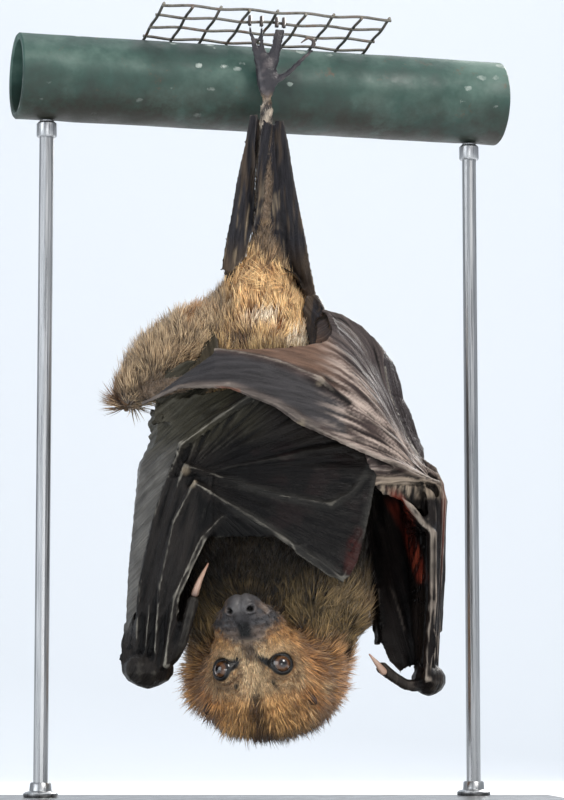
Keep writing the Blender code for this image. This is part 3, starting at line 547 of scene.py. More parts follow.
def remeshed(mesh, voxel, rounds):
    """The mesh as one even skin of small squares, smoothed for some rounds."""
    holder = bpy.data.objects.new("holder", mesh)
    bpy.context.scene.collection.objects.link(holder)
    remesh = holder.modifiers.new("Fuse", "REMESH")
    remesh.mode = "VOXEL"
    remesh.voxel_size = voxel
    smooth = holder.modifiers.new("Smooth", "SMOOTH")
    smooth.factor = 0.5
    smooth.iterations = rounds
    made = bpy.data.meshes.new_from_object(holder.evaluated_get(bpy.context.evaluated_depsgraph_get()))
    bpy.data.objects.remove(holder)
    return made


def points_of(mesh):
    """Vertex places as an array, in millimetres."""
    flat = np.empty(len(mesh.vertices) * 3)
    mesh.vertices.foreach_get("co", flat)
    return flat.reshape(-1, 3) / MM


def normals_of(mesh):
    """Vertex normals as an array."""
    flat = np.empty(len(mesh.vertices) * 3, np.float32)
    mesh.vertex_normals.foreach_get("vector", flat)
    return flat.reshape(-1, 3).astype(float)


def set_points(mesh, points):
    """Moves the vertices to points, given in millimetres."""
    mesh.vertices.foreach_set("co", (points * MM).astype(np.float32).ravel())
    mesh.update()


def neighbours_of(mesh):
    """Both ends of every edge, and each vertex's count of edges."""
    ends = np.empty(len(mesh.edges) * 2, np.int64)
    mesh.edges.foreach_get("vertices", ends)
    a, b = ends.reshape(-1, 2).T
    count = np.bincount(np.concatenate([a, b]), minlength=len(mesh.vertices)).astype(float)
    return a, b, np.maximum(count, 1.0)


def blurred(values, net, rounds):
    """Values at the vertices, averaged with their neighbours for some rounds."""
    a, b, count = net
    wide = values.reshape(len(values), -1).astype(float)
    for _ in range(rounds):
        total = np.zeros_like(wide)
        for column in range(wide.shape[1]):
            total[:, column] = (np.bincount(a, wide[b, column], len(wide))
                                + np.bincount(b, wide[a, column], len(wide)))
        wide = 0.5 * wide + 0.5 * total / count[:, None]
    return wide.reshape(values.shape)


def soft(values, zero, one):
    """0 at zero and below, 1 at one and above, smooth between; it runs the other way if one is the less."""
    share = np.clip((values - zero) / (one - zero), 0.0, 1.0)
    return share * share * (3.0 - 2.0 * share)


def cloud(points, size, seed=0.0, detail=2):
    """Smooth noise from about -1 to 1 over points in millimetres; size is one number or three."""
    scaled = points / np.array(size, float) + np.array((seed, seed * 1.7, -seed))
    return np.array([noise.fractal(spot, 0.9, 2.0, detail) for spot in scaled])


def refine(mesh, near, radius):
    """Halves the mesh's edges within radius of a place, both in millimetres."""
    work = bmesh.new()
    work.from_mesh(mesh)
    middle = Vector(near) * MM
    edges = [e for e in work.edges if all((v.co - middle).length < radius * MM for v in e.verts)]
    bmesh.ops.subdivide_edges(work, edges=edges, cuts=1, use_grid_fill=True, smooth=0.0)
    work.to_mesh(mesh)
    work.free()


eye_at = {side: sum(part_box("eye_" + side), Vector()) / 2 / MM for side in ("left", "right")}
EYE_BALL = (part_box("eye_left")[1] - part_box("eye_left")[0]).x / 2 / MM
eye_middle = (eye_at["left"] + eye_at["right"]) / 2
nose_middle = sum(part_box("nose"), Vector()) / 2 / MM
EYE_OUT = (eye_at["right"] - eye_at["left"]).length / 2
NOSE_OUT = (nose_middle - eye_middle).length
head_right = (eye_at["right"] - eye_at["left"]).normalized()
head_front = nose_middle - eye_middle
head_front = (head_front - head_right * head_front.dot(head_right)).normalized()
head_back = head_front.cross(head_right)
head_axes = np.array([head_right, head_back, head_front])


def in_head(points):
    """How far places lie aside (to the bat's right), below (towards the throat) and ahead (towards the
    nose), from between the eyes."""
    return (points - np.array(eye_middle)) @ head_axes.T


def from_head(right, back, front):
    """The reverse of in_head for one place."""
    return eye_middle + head_right * right + head_back * back + head_front * front


skin = remeshed(joined(FLESH + EYES, CLOSE_GAPS), SKIN_VOXEL, 10)
refine(skin, nose_middle, 13.0)
for side in ("left", "right"):
    refine(skin, eye_at[side], 10.0)
    refine(skin, eye_at[side], 7.6)
net = neighbours_of(skin)

node_of_face, corners, loops = [], [], []
for name in FLESH:
    data = frame["nodes"][name].data
    first = len(corners)
    corners += [v.co for v in data.vertices]
    loops += [[first + k for k in face.vertices] for face in data.polygons]
    node_of_face += [name] * len(data.polygons)
flesh_faces = BVHTree.FromPolygons(corners, loops)
nearest = [node_of_face[flesh_faces.find_nearest(v.co)[2]] for v in skin.vertices]
# How much of each CAD node there is at each vertex, from 0 to 1.
part = {name: blurred(np.array([n == name for n in nearest], float), net, 14) for name in FLESH}
head_part = part["head"] + part["muzzle"] + part["nose"]
foot_part = part["foot_left"] + part["foot_right"]
shank_part = part["shank_left"] + part["shank_right"]
arm_part = part["upper_arm_left"] + part["upper_arm_right"]
left_leg, right_leg = part["thigh_left"], part["thigh_right"]

# The skin sinks by the depth of its coat in small steps, furred parts and the crown smoothed as they go.
INSET_ROUNDS = 5
points = points_of(skin)
x, y, z = points.T
ahead = in_head(points)[:, 2]
near_eyes = np.min([np.linalg.norm(points - np.array(eye_at[side]), axis=1) for side in eye_at], axis=0)
depth = sum(part[name] * COAT_DEPTH[name] for name in FLESH)
depth += 3.2 * part["neck"] * soft(z, 50.0, 36.0)
depth += 4.0 * part["neck"] * soft(x, 22.0, 36.0) * soft(z, 82.0, 70.0)
depth = depth * (1 - head_part * soft(ahead, 0.0, 12.0) * 0.75) * (1 - 0.8 * soft(near_eyes, 13.0, 6.5))
for _ in range(INSET_ROUNDS):
    set_points(skin, points)
    held = points - normals_of(skin) * (depth / INSET_ROUNDS)[:, None]
    bare = soft(depth, 1.4, 0.5)[:, None]
    points = held * bare + blurred(held, net, 2) * (1 - bare)
crown = soft(points[:, 2], 42.0, 36.0)[:, None]
points = points * (1 - crown) + blurred(points, net, 120) * crown
set_points(skin, points)

# Eyelids: a round opening in skin that hugs the ball, a thick dark rim, and a pointed inner corner.
LID_OPENING = math.radians(42)
LID_CORNER = math.radians(17)
LID_THICK = 0.34
LID_REACH = 9.5
GAZE = {"left": (-0.42, -0.80, 0.40), "right": (0.42, -0.80, 0.40)}
gaze = {}
for side, (right, back, front) in GAZE.items():
    gaze[side] = (head_right * right + head_back * back + head_front * front).normalized()
lid_edge = np.zeros(len(points))
for side, sign in (("left", -1.0), ("right", 1.0)):
    offset = points - np.array(eye_at[side])
    radius = np.linalg.norm(offset, axis=1)
    way = offset / np.maximum(radius, 1e-6)[:, None]
    angle = np.arccos(np.clip(way @ np.array(gaze[side]), -1, 1))
    to_nose = (head_right * -sign * 0.75 + head_front * 0.65)
    to_nose = (to_nose - gaze[side] * to_nose.dot(gaze[side])).normalized()
    flat = way - np.cos(angle)[:, None] * np.array(gaze[side])
    toward = (flat @ np.array(to_nose)) / np.maximum(np.linalg.norm(flat, axis=1), 1e-6)
    opening = LID_OPENING + LID_CORNER * soft(toward, 0.72, 1.0)
    past = angle - opening
    lid = EYE_BALL + 0.12 + LID_THICK * soft(past, -0.02, 0.09) + 0.5 * soft(past, 0.1, 0.5)
    lid = np.where(past < 0, EYE_BALL - 1.5 - 1.2 * soft(past, 0.0, -0.3), lid)
    share = soft(past, 0.75, 0.2) * soft(radius, LID_REACH, 6.5)
    target = radius * (1 - share) + lid * share
    target = np.where((past >= 0) & (radius < LID_REACH), np.maximum(target, EYE_BALL + 0.4), target)
    points = np.array(eye_at[side]) + way * target[:, None]
    lid_edge = np.maximum(lid_edge, soft(past, 0.46, 0.2) * soft(radius, 8.2, 6.8))

# Nose: two nostrils with raised rims, a groove between them, and the wrinkled sides of the muzzle, which is
# widened at its root and at the jaw and drawn in towards its tip.
NOSTRIL = (4.3, -5.6, NOSE_OUT - 2.2)
NOSTRIL_SHAPE = (1.25, 1.6, 0.95)
aside, below, ahead = in_head(points).T
out_way, off_middle = np.sign(aside), np.abs(aside)
low = np.maximum(below + 1.0, 0.0) * soft(ahead, NOSE_OUT - 14.0, NOSE_OUT - 4.0) * 0.42 * head_part
points -= low[:, None] * np.array(head_back)
wide = 1.3 * out_way * soft(off_middle, 1.0, 6.0) * head_part
wide = wide * soft(ahead, NOSE_OUT - 3.0, NOSE_OUT - 10.0) * soft(ahead, 2.0, 10.0)
wide += (1.2 * out_way * soft(off_middle, 2.0, 6.0) * soft(ahead, NOSE_OUT, NOSE_OUT - 4.0)
         * soft(ahead, NOSE_OUT - 14.0, NOSE_OUT - 8.0) * head_part)
points += wide[:, None] * np.array(head_right)
jaw = 1.2 * out_way * soft(off_middle, 2.0, 5.0) * soft(below, -2.0, 3.0) * head_part
points += (jaw * soft(ahead, NOSE_OUT - 16.0, NOSE_OUT - 9.0))[:, None] * np.array(head_right)
points -= (1.7 * soft(ahead, NOSE_OUT - 6.0, NOSE_OUT + 1.0) * head_part)[:, None] * np.array(head_front)
set_points(skin, points)
normals = normals_of(skin)
face = in_head(points)
aside, below, ahead = face.T
push = np.zeros(len(points))
nostril_part = np.zeros(len(points))
for sign in (-1.0, 1.0):
    away = face - np.array((NOSTRIL[0] * sign, NOSTRIL[1], NOSTRIL[2]))
    reach = np.sqrt(((away / np.array(NOSTRIL_SHAPE)) ** 2).sum(axis=1))
    push += 0.55 * np.exp(-((reach - 1.7) / 0.7) ** 2) - 2.1 * soft(reach, 1.5, 0.5)
    nostril_part = np.maximum(nostril_part, soft(reach, 1.6, 0.9))
nose_front = soft(ahead, NOSE_OUT - 10.0, NOSE_OUT - 4.0)
push -= 0.5 * np.exp(-(aside / 0.9) ** 2) * nose_front * soft(below, 4.0, -1.0)
push += 0.35 * np.exp(-((np.abs(aside) - 2.6) / 1.6) ** 2) * nose_front
fold = np.sin(ahead * 2.1 + 0.9 * cloud(face, 3.0, 4.0)) * soft(np.abs(aside), 2.0, 6.0)
push += 0.16 * fold * soft(ahead, 8.0, 14.0) * soft(ahead, NOSE_OUT - 3.0, NOSE_OUT - 8.0)
mouth_line = 4.6 + 0.10 * (NOSE_OUT - ahead)
mouth = np.exp(-((below - mouth_line) / 0.55) ** 2) * soft(ahead, 4.0, 9.0) * head_part
push -= 0.7 * mouth
push -= 1.3 * np.exp(-(aside / 1.6) ** 2) * soft(ahead, -6.0, -14.0) * part["head"] * (below < 2)
push += 0.14 * np.sin(points[:, 2] * 3.1 + cloud(points, 3.0, 9.0)) * foot_part
points = points + normals * push[:, None]

# The right upper arm is drawn in, so that its fur stays behind the edge of the folded wing.
points[:, 0] -= 11.0 * part["upper_arm_right"] * soft(points[:, 0], 38.0, 60.0)
set_points(skin, points)

# ---------------------------------------------------------------- markings
# Golden face and mantle, a dark parting on the crown, olive-brown throat and chest with tan tips, a cream
# pelvis and grey-tan thigh, and grey-black bare skin on muzzle, eyelids and feet. Skin and coat share them.
# Painted highlights and shade are laid in among them in places, each said where it is laid.


class Tint:
    """A colour for each vertex, laid on in layers."""

    def __init__(self, count, colour):
        self.rgb = np.tile(np.array(srgb(*colour)[:3]), (count, 1))

    def lay(self, colour, share):
        share = np.clip(share, 0.0, 1.0)[:, None]
        self.rgb = self.rgb * (1 - share) + np.array(srgb(*colour)[:3]) * share

    def store(self, mesh, name):
        rgba = np.column_stack([self.rgb, np.ones(len(self.rgb))])
        layer = mesh.attributes.new(name, "FLOAT_COLOR", "POINT")
        layer.data.foreach_set("color", rgba.astype(np.float32).ravel())


x, y, z = points.T
face = in_head(points)
aside, below, ahead = face.T
off_middle = np.abs(aside + 0.8 * cloud(points, 9.0, 2.0))
patch = cloud(points, 16.0, 5.0, 3)
fine = cloud(points, 4.0, 7.0, 2)
front_face = soft(below, 8.0, -2.0)
rear = soft(y, 4.0, 16.0)
rump = soft(z, 178.0, 200.0)
mantle = soft(z, 118.0, 84.0) * (part["neck"] + part["trunk"])
near_head = part["neck"] * soft(z + 4.0 * patch, 72.0, 57.0) * (1 - 0.6 * rear)
coat = Tint(len(points), (36, 29, 22))
tips = Tint(len(points), (136, 114, 78))


def lay_both(root_colour, tip_colour, share, root_strength=1.0, tip_strength=1.0):
    """A mark in one colour at the roots of the hairs, and in another at their tips."""
    coat.lay(root_colour, share * root_strength)
    tips.lay(tip_colour, share * tip_strength)


# Back, mantle, pelvis and legs.
lay_both((60, 42, 28), (112, 84, 56), rear, 0.9, 0.9)
lay_both((140, 92, 48), (210, 160, 96), mantle * rear * (0.85 + 0.3 * patch))
lay_both((150, 92, 48), (255, 216, 156), rump * (1 - 0.75 * rear) * (1 - left_leg))
lay_both((104, 84, 64), (182, 158, 126), left_leg)
lay_both((150, 92, 48), (255, 216, 156), right_leg * soft(z, 226.0, 219.0))
lay_both((134, 84, 44), (214, 160, 100), near_head)
lay_both((84, 48, 28), (206, 146, 92), near_head * soft(x, 12.0, 30.0), 0.85, 0.8)
lay_both((66, 50, 36), (132, 108, 80), part["neck"] * soft(x, 31.0, 39.0) * soft(z, 44.0, 56.0), 0.8, 0.8)
coat.lay((96, 62, 38), rump * soft(fine + patch, 0.0, 0.7) * 0.6)
tips.lay((200, 138, 78), rump * soft(fine + 0.6 * patch, 0.0, 0.6) * 0.6)
lay_both((92, 76, 60), (132, 110, 86), right_leg * soft(z, 219.0, 226.0))
# Painted shade: the rump is darker towards its left side, away from the light.
coat.lay((88, 56, 34), rump * soft(x, -6.0, -15.0) * soft(fine, -0.3, 0.4) * (1 - left_leg) * 0.8)
tips.lay((124, 88, 58), rump * soft(x, -8.0, -15.0) * soft(fine, -0.2, 0.5) * (1 - left_leg) * 0.7)

# Two pale patches of painted highlight and the dark pucker of the pelvis, the chest darkened by painted
# shade, and the darker knee.
for mid_x, mid_z, wide, tall in ((-3.5, 200.0, 8.0, 4.0), (11.5, 190.5, 7.0, 5.0)):
    # Painted highlights: pale patches where the light falls on the pelvis fur.
    pale = soft(np.hypot((x - mid_x) / wide, (z - mid_z) / tall) + 0.3 * fine, 1.2, 0.5) * (1 - rear)
    lay_both((216, 176, 128), (255, 242, 218), pale, 0.7, 0.9)
pucker = np.hypot((x + 9.6) / 4.6, (z - 191.0) / 4.6) + 2.0 * rear
coat.lay((46, 30, 22), soft(pucker, 1.6, 0.5) * 0.95)
tips.lay((72, 46, 32), soft(pucker, 1.4, 0.5) * 0.9)
shadow = (part["neck"] + part["trunk"]) * soft(z + 4.0 * patch - 0.1 * x, 78.0, 95.0) * soft(z, 150.0, 130.0)
lay_both((18, 15, 13), (36, 30, 23), shadow, 0.9, 0.9)
knee = left_leg * soft(x, -57.0, -63.0)
lay_both((92, 68, 50), (128, 100, 76), knee)

# Head: ginger cheeks, pale brow and eye surrounds, a dark parting that widens towards the crown, a painted
# highlight of lit hairs on the right cheek, and a thin dark streak at each side of the bridge.
lay_both((150, 98, 52), (220, 172, 112), head_part)
lay_both((120, 74, 42), (206, 148, 92), head_part * soft(off_middle, 11.0, 19.0))
lay_both((190, 148, 104), (250, 220, 174),
         head_part * front_face * soft(off_middle, 10.0, 4.0) * soft(ahead, -14.0, -4.0))
lay_both((190, 148, 104), (250, 220, 174), head_part * front_face * soft(near_eyes, 13.0, 8.0), 0.8, 0.8)
lay_both((118, 76, 44), (214, 168, 112), head_part * soft(ahead + 2.5 * fine, -19.0, -26.0))
parting_half = 0.7 + 0.16 * np.maximum(-5.0 - ahead, 0.0)
parting = (head_part * front_face * soft(off_middle, 1.7 * parting_half, 0.5 * parting_half)
           * soft(ahead, -4.5, -9.0))
lay_both((44, 28, 19), (58, 37, 25), parting, 0.95, 0.95)
lay_both((104, 68, 40), (104, 68, 40), head_part * soft(below, 5.0, 13.0), 0.55, 0.55)
low_rim = np.maximum(head_part * soft(ahead, -20.0, -29.0), part["neck"] * soft(z, 52.0, 42.0))
coat.lay((140, 92, 48), low_rim * (1 - parting) * 0.8)
tips.lay((78, 50, 32), low_rim * 0.85)
# Painted highlight: paler, brighter hairs on the right cheek where the light falls.
cheek_highlight = head_part * soft(aside, 9.0, 13.0) * soft(ahead, 5.0, -2.0) * soft(ahead, -27.0, -20.0)
lay_both((176, 112, 58), (255, 222, 168), cheek_highlight * soft(fine + 0.6 * patch, -0.1, 0.6), 0.5, 0.7)
streak = np.exp(-((off_middle - 2.6) / 0.7) ** 2) * soft(ahead, -10.0, -2.0) * soft(ahead, 12.0, 4.0)
coat.lay((110, 82, 52), head_part * front_face * streak * 0.5)

# Dark corners beside the eyes, each (share of the way out, ahead, size), and a small dark spot above each.
EYE_CORNERS = {-1.0: (0.60, 3.6, (3.0, 10.0, 2.8)), 1.0: (0.50, 3.2, (3.8, 10.0, 2.2))}
BROW_SPOT, BROW_SPOT_SIZE = (7.6, -4.0, -6.2), (1.1, 8.0, 2.0)
corner = np.zeros(len(points))
spots = np.zeros(len(points))
for sign, (out_share, forward, size) in EYE_CORNERS.items():
    away = face - np.array((sign * EYE_OUT * out_share, -1.0, forward))
    away[:, 2] += 0.7 * sign * away[:, 0]
    corner = np.maximum(corner, soft(np.linalg.norm(away / np.array(size), axis=1), 1.3, 0.75))
    away = face - np.array((sign * BROW_SPOT[0], BROW_SPOT[1], BROW_SPOT[2]))
    spots = np.maximum(spots, soft(np.linalg.norm(away / np.array(BROW_SPOT_SIZE), axis=1), 1.3, 0.5))
corner *= head_part * front_face
spots *= head_part * front_face

# Bare skin has one colour from root to tip.
far_side = np.maximum(off_middle - 5.0, 0.0)
muzzle_dark = head_part * soft(ahead - 0.85 * far_side + 1.2 * fine, 9.0, 13.5)
bridge = head_part * front_face * soft(off_middle + 0.5 * fine, 3.2, 1.8) * soft(ahead, 3.0, 7.5)
around_eye = head_part * soft(near_eyes, 9.5, 7.0) * front_face
BARE_SKIN = (
    ((92, 66, 46), around_eye * soft(fine, -0.6, 0.6) * 0.75),
    ((92, 80, 72), np.maximum(muzzle_dark, bridge * 0.9)),
    ((60, 58, 59), muzzle_dark * soft(ahead, NOSE_OUT - 13.0, NOSE_OUT - 8.0)),
    ((20, 20, 20), muzzle_dark * soft(off_middle, 3.4, 1.8) * soft(ahead, 11.0, 15.0)
     * soft(ahead, NOSE_OUT - 6.0, NOSE_OUT - 9.0)),
    ((88, 85, 84), muzzle_dark * soft(ahead, NOSE_OUT - 5.5, NOSE_OUT - 2.5)
     * soft(off_middle, 6.0, 1.0) * 0.6),
    ((118, 98, 82), muzzle_dark * soft(off_middle, 3.0, 6.5) * soft(fine, -0.2, 0.6) * 0.5),
    ((150, 126, 104), muzzle_dark * soft(below, mouth_line - 3.0, mouth_line - 0.6) * 0.5),
    ((20, 17, 16), np.maximum(corner, spots * 0.95)),
    ((11, 10, 11), lid_edge),
    # Painted shade: the nostril openings in near-black, as the shade inside them.
    ((8, 7, 8), nostril_part),
    ((50, 46, 46), shank_part),
    ((128, 108, 88), shank_part * soft(z + 8.0 * fine, 290.0, 262.0) * 0.75),
    # Painted highlight: near-white flecks on the shank.
    ((222, 206, 186), shank_part * soft(z, 276.0, 283.0) * soft(fine, -0.1, 0.35) * 0.8),
    ((44, 42, 46), foot_part),
    ((98, 90, 90), foot_part * soft(fine, 0.1, 0.7) * 0.6))
for colour, share in BARE_SKIN:
    lay_both(colour, colour, share)
coat.store(skin, "coat")
tips.store(skin, "tips")

# ---------------------------------------------------------------- skin finish
# Thin skin with its markings. Under the fur it is matt and rough, and bare parts are smooth, finely creased
# and slightly greasy, as on the muzzle and the feet.


def keep(mesh, name, values):
    """Stores one number or one vector for each vertex."""
    values = np.array(values, np.float32)
    kind, field = ("FLOAT", "value") if values.ndim == 1 else ("FLOAT_VECTOR", "vector")
    mesh.attributes.new(name, kind, "POINT").data.foreach_set(field, values.ravel())


def attribute(tree, name, output="Color"):
    """A named attribute of the mesh."""
    return step(tree, "ShaderNodeAttribute", attribute_name=name).outputs[output]


def skin_finish():
    material, tree, shader = finish("bat_skin", Specular_IOR_Level=0.42)
    place = object_place(tree)
    colour = mix(tree, attribute(tree, "furred", "Fac"), attribute(tree, "tips"), attribute(tree, "coat"))
    mottle = grain(tree, place, 420.0, 6.0, 0.65)
    colour = mix(tree, 0.35, colour, ramp(tree, mottle, (0.3, 0.25), (0.7, 0.8)), "OVERLAY")
    feed(tree, shader, Base_Color=colour)
    feed(tree, shader, Roughness=rescale(tree, attribute(tree, "furred", "Fac"), 0.0, 1.0, 0.4, 0.8))
    pores = step(tree, "ShaderNodeTexVoronoi", {"Vector": place, "Scale": 900.0}, feature="DISTANCE_TO_EDGE")
    bump(tree, shader, pores.outputs["Distance"], 0.00025, 0.7)
    bump(tree, shader, grain(tree, place, 700.0, 5.0), 0.00018, 0.6)
    return material


bare = np.maximum.reduce([muzzle_dark, bridge * 0.8, lid_edge, nostril_part, corner, spots, foot_part,
                          shank_part * 0.8])
keep(skin, "furred", np.clip(1 - bare, 0.0, 1.0))
skin.materials.append(skin_finish())
skin.shade_smooth()
piece("body_skin", skin, "golden_fur", *FLESH)

# ---------------------------------------------------------------- coat
# Fine, slightly wavy fur in tufts, each a few tapering hairs from one root. It lies backwards from the nose
# over the face, spreads at the cheeks and crown, and lies tailwards on throat, belly and back.

TUFT_KINDS = 6
HAIRS = 4
TUFT_TRIANGLES = HAIRS * 10
TUFTS_PER_SQUARE_METRE = 1.13e6
SLICE_TRIANGLES = 172000
TUFT_SEED = 17


def unit(rows):
    """Each row as a vector of length 1."""
    return rows / np.maximum(np.linalg.norm(rows, axis=1), 1e-9)[:, None]


# Which way the fur lies: from the nose, out from the cheeks, and towards the tail.
from_cheeks = points - np.array(from_head(0.0, 4.0, 4.0))
from_nose = points - np.array(from_head(0.0, -1.0, NOSE_OUT + 3.0))
on_head = np.clip(head_part, 0.0, 1.0)
low_neck = part["neck"] * soft(z, 74.0, 58.0) * (1 - on_head)
tailward = np.tile((0.0, 0.0, 1.0), (len(points), 1))
way = (unit(from_nose) * on_head[:, None] + unit(from_cheeks) * 1.2 * low_neck[:, None]
       + tailward * (1 - on_head - low_neck)[:, None])
waver = np.column_stack([cloud(points, 9.0, seed) for seed in (11.0, 23.0, 37.0)])
stray = 0.25 + 0.7 * (part["trunk"] + part["neck"] * soft(z, 62.0, 78.0)) + 0.35 * left_leg + 0.3 * rump
way = unit(blurred(unit(way), net, 25)) + waver * stray[:, None]

# How long it is in millimetres, how far it stands off in radians, and how many tufts there are.
past_face = np.maximum(soft(near_eyes, 9.0, 22.0), soft(off_middle, 12.0, 19.0))
crown_rim = soft(z, 56.0, 40.0)
length = (part["head"] * (3.6 + 6.4 * past_face) + part["muzzle"] * (1.5 + 1.6 * soft(off_middle, 5.0, 10.0))
          + part["nose"] * 0.9 + part["neck"] * (11.5 - 2.5 * crown_rim)
          + part["trunk"] * 12.0 + left_leg * 11.5 + right_leg * 9.0
          + arm_part * 7.0 + shank_part * 2.6 + foot_part * 1.2)
length = length * (1 - 0.5 * soft(near_eyes, 11.0, 6.0)) * (1 - 0.22 * rump) * (1 - 0.3 * knee)
length = length * (1 - 0.3 * soft(z, 40.0, 34.0))
length = length * (1 - 0.35 * soft(z, 84.0, 66.0) * soft(x, 20.0, 30.0))
lift = (part["head"] * (0.34 + 0.36 * past_face) + part["muzzle"] * 0.4 + part["nose"] * 0.4
        + part["neck"] * (0.42 + 0.12 * crown_rim) + part["trunk"] * 0.40
        + left_leg * 0.62 + right_leg * 0.42 + arm_part * 0.3 + (shank_part + foot_part) * 0.4)
crowd = (part["head"] * (1.9 + 1.9 * front_face * (1 - past_face)) + part["muzzle"] * 4.2
         + part["nose"] * 1.0 + part["neck"] * 0.82 + part["trunk"] * (0.56 - 0.12 * rear)
         + (left_leg + right_leg) * 0.85 + arm_part * 0.4 + shank_part * 1.1 + foot_part * 0.05)
crowd = crowd * np.clip(1 - np.maximum.reduce([muzzle_dark * 0.93, bridge * 0.85, lid_edge * 1.6,
                                               nostril_part * 2, corner * 0.95, spots * 0.9]), 0.0, 1.0)
keep(skin, "fur_length", length * MM)
keep(skin, "fur_lift", lift)
keep(skin, "fur_crowd", crowd)
keep(skin, "fur_way", way)

# Slices with about the same number of tufts, from crown to tail.
skin.calc_loop_triangles()
ends = np.empty(len(skin.loop_triangles) * 3, np.int64)
skin.loop_triangles.foreach_get("vertices", ends)
ends = ends.reshape(-1, 3)
thirds = np.linalg.norm(np.cross(points[ends[:, 1]] - points[ends[:, 0]],
                                 points[ends[:, 2]] - points[ends[:, 0]]), axis=1) / 6
areas = np.zeros(len(points))
for column in range(3):
    areas += np.bincount(ends[:, column], thirds, len(points))
expected = areas * crowd * TUFTS_PER_SQUARE_METRE * 1e-6
order = np.argsort(z + 60.0 * (1 - on_head))
running = np.cumsum(expected[order]) * TUFT_TRIANGLES / SLICE_TRIANGLES
slices = int(math.ceil(running[-1]))
slice_of = np.empty(len(points))
slice_of[order] = np.minimum(np.floor(running * slices / running[-1]), slices - 1)
keep(skin, "fur_slice", slice_of)


def unwrapped(mesh, name):
    """Lays the surface out flat in a UV map."""
    holder = bpy.data.objects.new("unwrap", mesh)
    bpy.context.scene.collection.objects.link(holder)
    mesh.uv_layers.new(name=name)
    bpy.context.view_layer.objects.active = holder
    holder.select_set(True)
    bpy.ops.object.mode_set(mode="EDIT")
    bpy.ops.mesh.select_all(action="SELECT")
    bpy.ops.uv.smart_project(angle_limit=math.radians(60), island_margin=0.002)
    bpy.ops.object.mode_set(mode="OBJECT")
    bpy.data.objects.remove(holder)


def tuft(number):
    """One tuft, a unit high along Z with Y away from the skin: bent, tapering, three-sided hairs."""
    draw = np.random.default_rng(40 + number)
    verts, faces, tip, tone = [], [], [], []
    for hair in range(HAIRS):
        around = math.tau * (hair + draw.uniform(-0.3, 0.3)) / HAIRS
        root = Vector((math.cos(around), 0.5 * math.sin(around), 0.0)) * draw.uniform(0.04, 0.12)
        lean = Vector((math.cos(around) * draw.uniform(0.1, 0.34), draw.uniform(-0.12, 0.12), 0.0))
        droop = Vector((draw.uniform(-0.1, 0.1), -draw.uniform(0.1, 0.3), 0.0))
        tall = draw.uniform(0.72, 1.0)
        wide = draw.uniform(0.026, 0.038)
        hair_tone = draw.uniform(0.0, 1.0)
        start = len(verts)
        for height, girth in ((0.0, 1.0), (0.5, 0.8)):
            middle = root + lean * height + droop * height ** 2 + Vector((0, 0, height * tall))
            for k in range(3):
                turn = around + math.tau * k / 3
                verts.append(middle + Vector((math.cos(turn), 0.55 * math.sin(turn), 0.0)) * wide * girth)
                tip.append(height)
        verts.append(root + lean + droop + Vector((0, 0, tall)))
        tip.append(1.0)
        tone += [hair_tone] * 7
        faces.append((start + 2, start + 1, start))
        for k in range(3):
            after = (k + 1) % 3
            faces.append((start + k, start + after, start + 3 + after, start + 3 + k))
            faces.append((start + 3 + k, start + 3 + after, start + 6))
    mesh = bpy.data.meshes.new("tuft_%d" % number)
    mesh.from_pydata(verts, [], faces)
    keep(mesh, "tip", tip)
    keep(mesh, "tone", tone)
    keep(mesh, "patch", [(v.x + 0.5, t, 0.0) for v, t in zip(verts, tip)])
    mesh.shade_smooth()
    return bpy.data.objects.new("tuft_%d" % number, mesh)


def named(tree, name, kind="FLOAT"):
    """A named attribute in a Geometry Nodes tree."""
    return step(tree, "GeometryNodeInputNamedAttribute", {"Name": name}, data_type=kind).outputs["Attribute"]


def vector_of(tree, operation, first, second=None):
    """A calculation with one or two vectors; SCALE takes a number second, and DOT_PRODUCT gives one."""
    wires = {0: first} if second is None else {0: first, ("Scale" if operation == "SCALE" else 1): second}
    made = step(tree, "ShaderNodeVectorMath", wires, operation=operation)
    return made.outputs["Value" if operation == "DOT_PRODUCT" else "Vector"]


def stored(tree, geometry, name, value, kind, domain="POINT"):
    """The geometry with one more named attribute."""
    wires = {"Geometry": geometry, "Name": name, "Value": value}
    made = step(tree, "GeometryNodeStoreNamedAttribute", wires, data_type=kind, domain=domain)
    return made.outputs["Geometry"]


def random_from(tree, low, high, seed):
    """A random number for each point, always the same for its seed."""
    made = step(tree, "FunctionNodeRandomValue", {"Seed": seed}, data_type="FLOAT")
    made.inputs[2].default_value = low
    made.inputs[3].default_value = high
    return made.outputs[1]


STRAY = 0.3
LIFT_SPREAD = (0.45, 1.55)
LENGTH_SPREAD = (0.7, 1.25)
TUFT_BREADTH, TUFT_BASE = 0.5, 2.2 * MM
BAKE_PATCH = 0.003


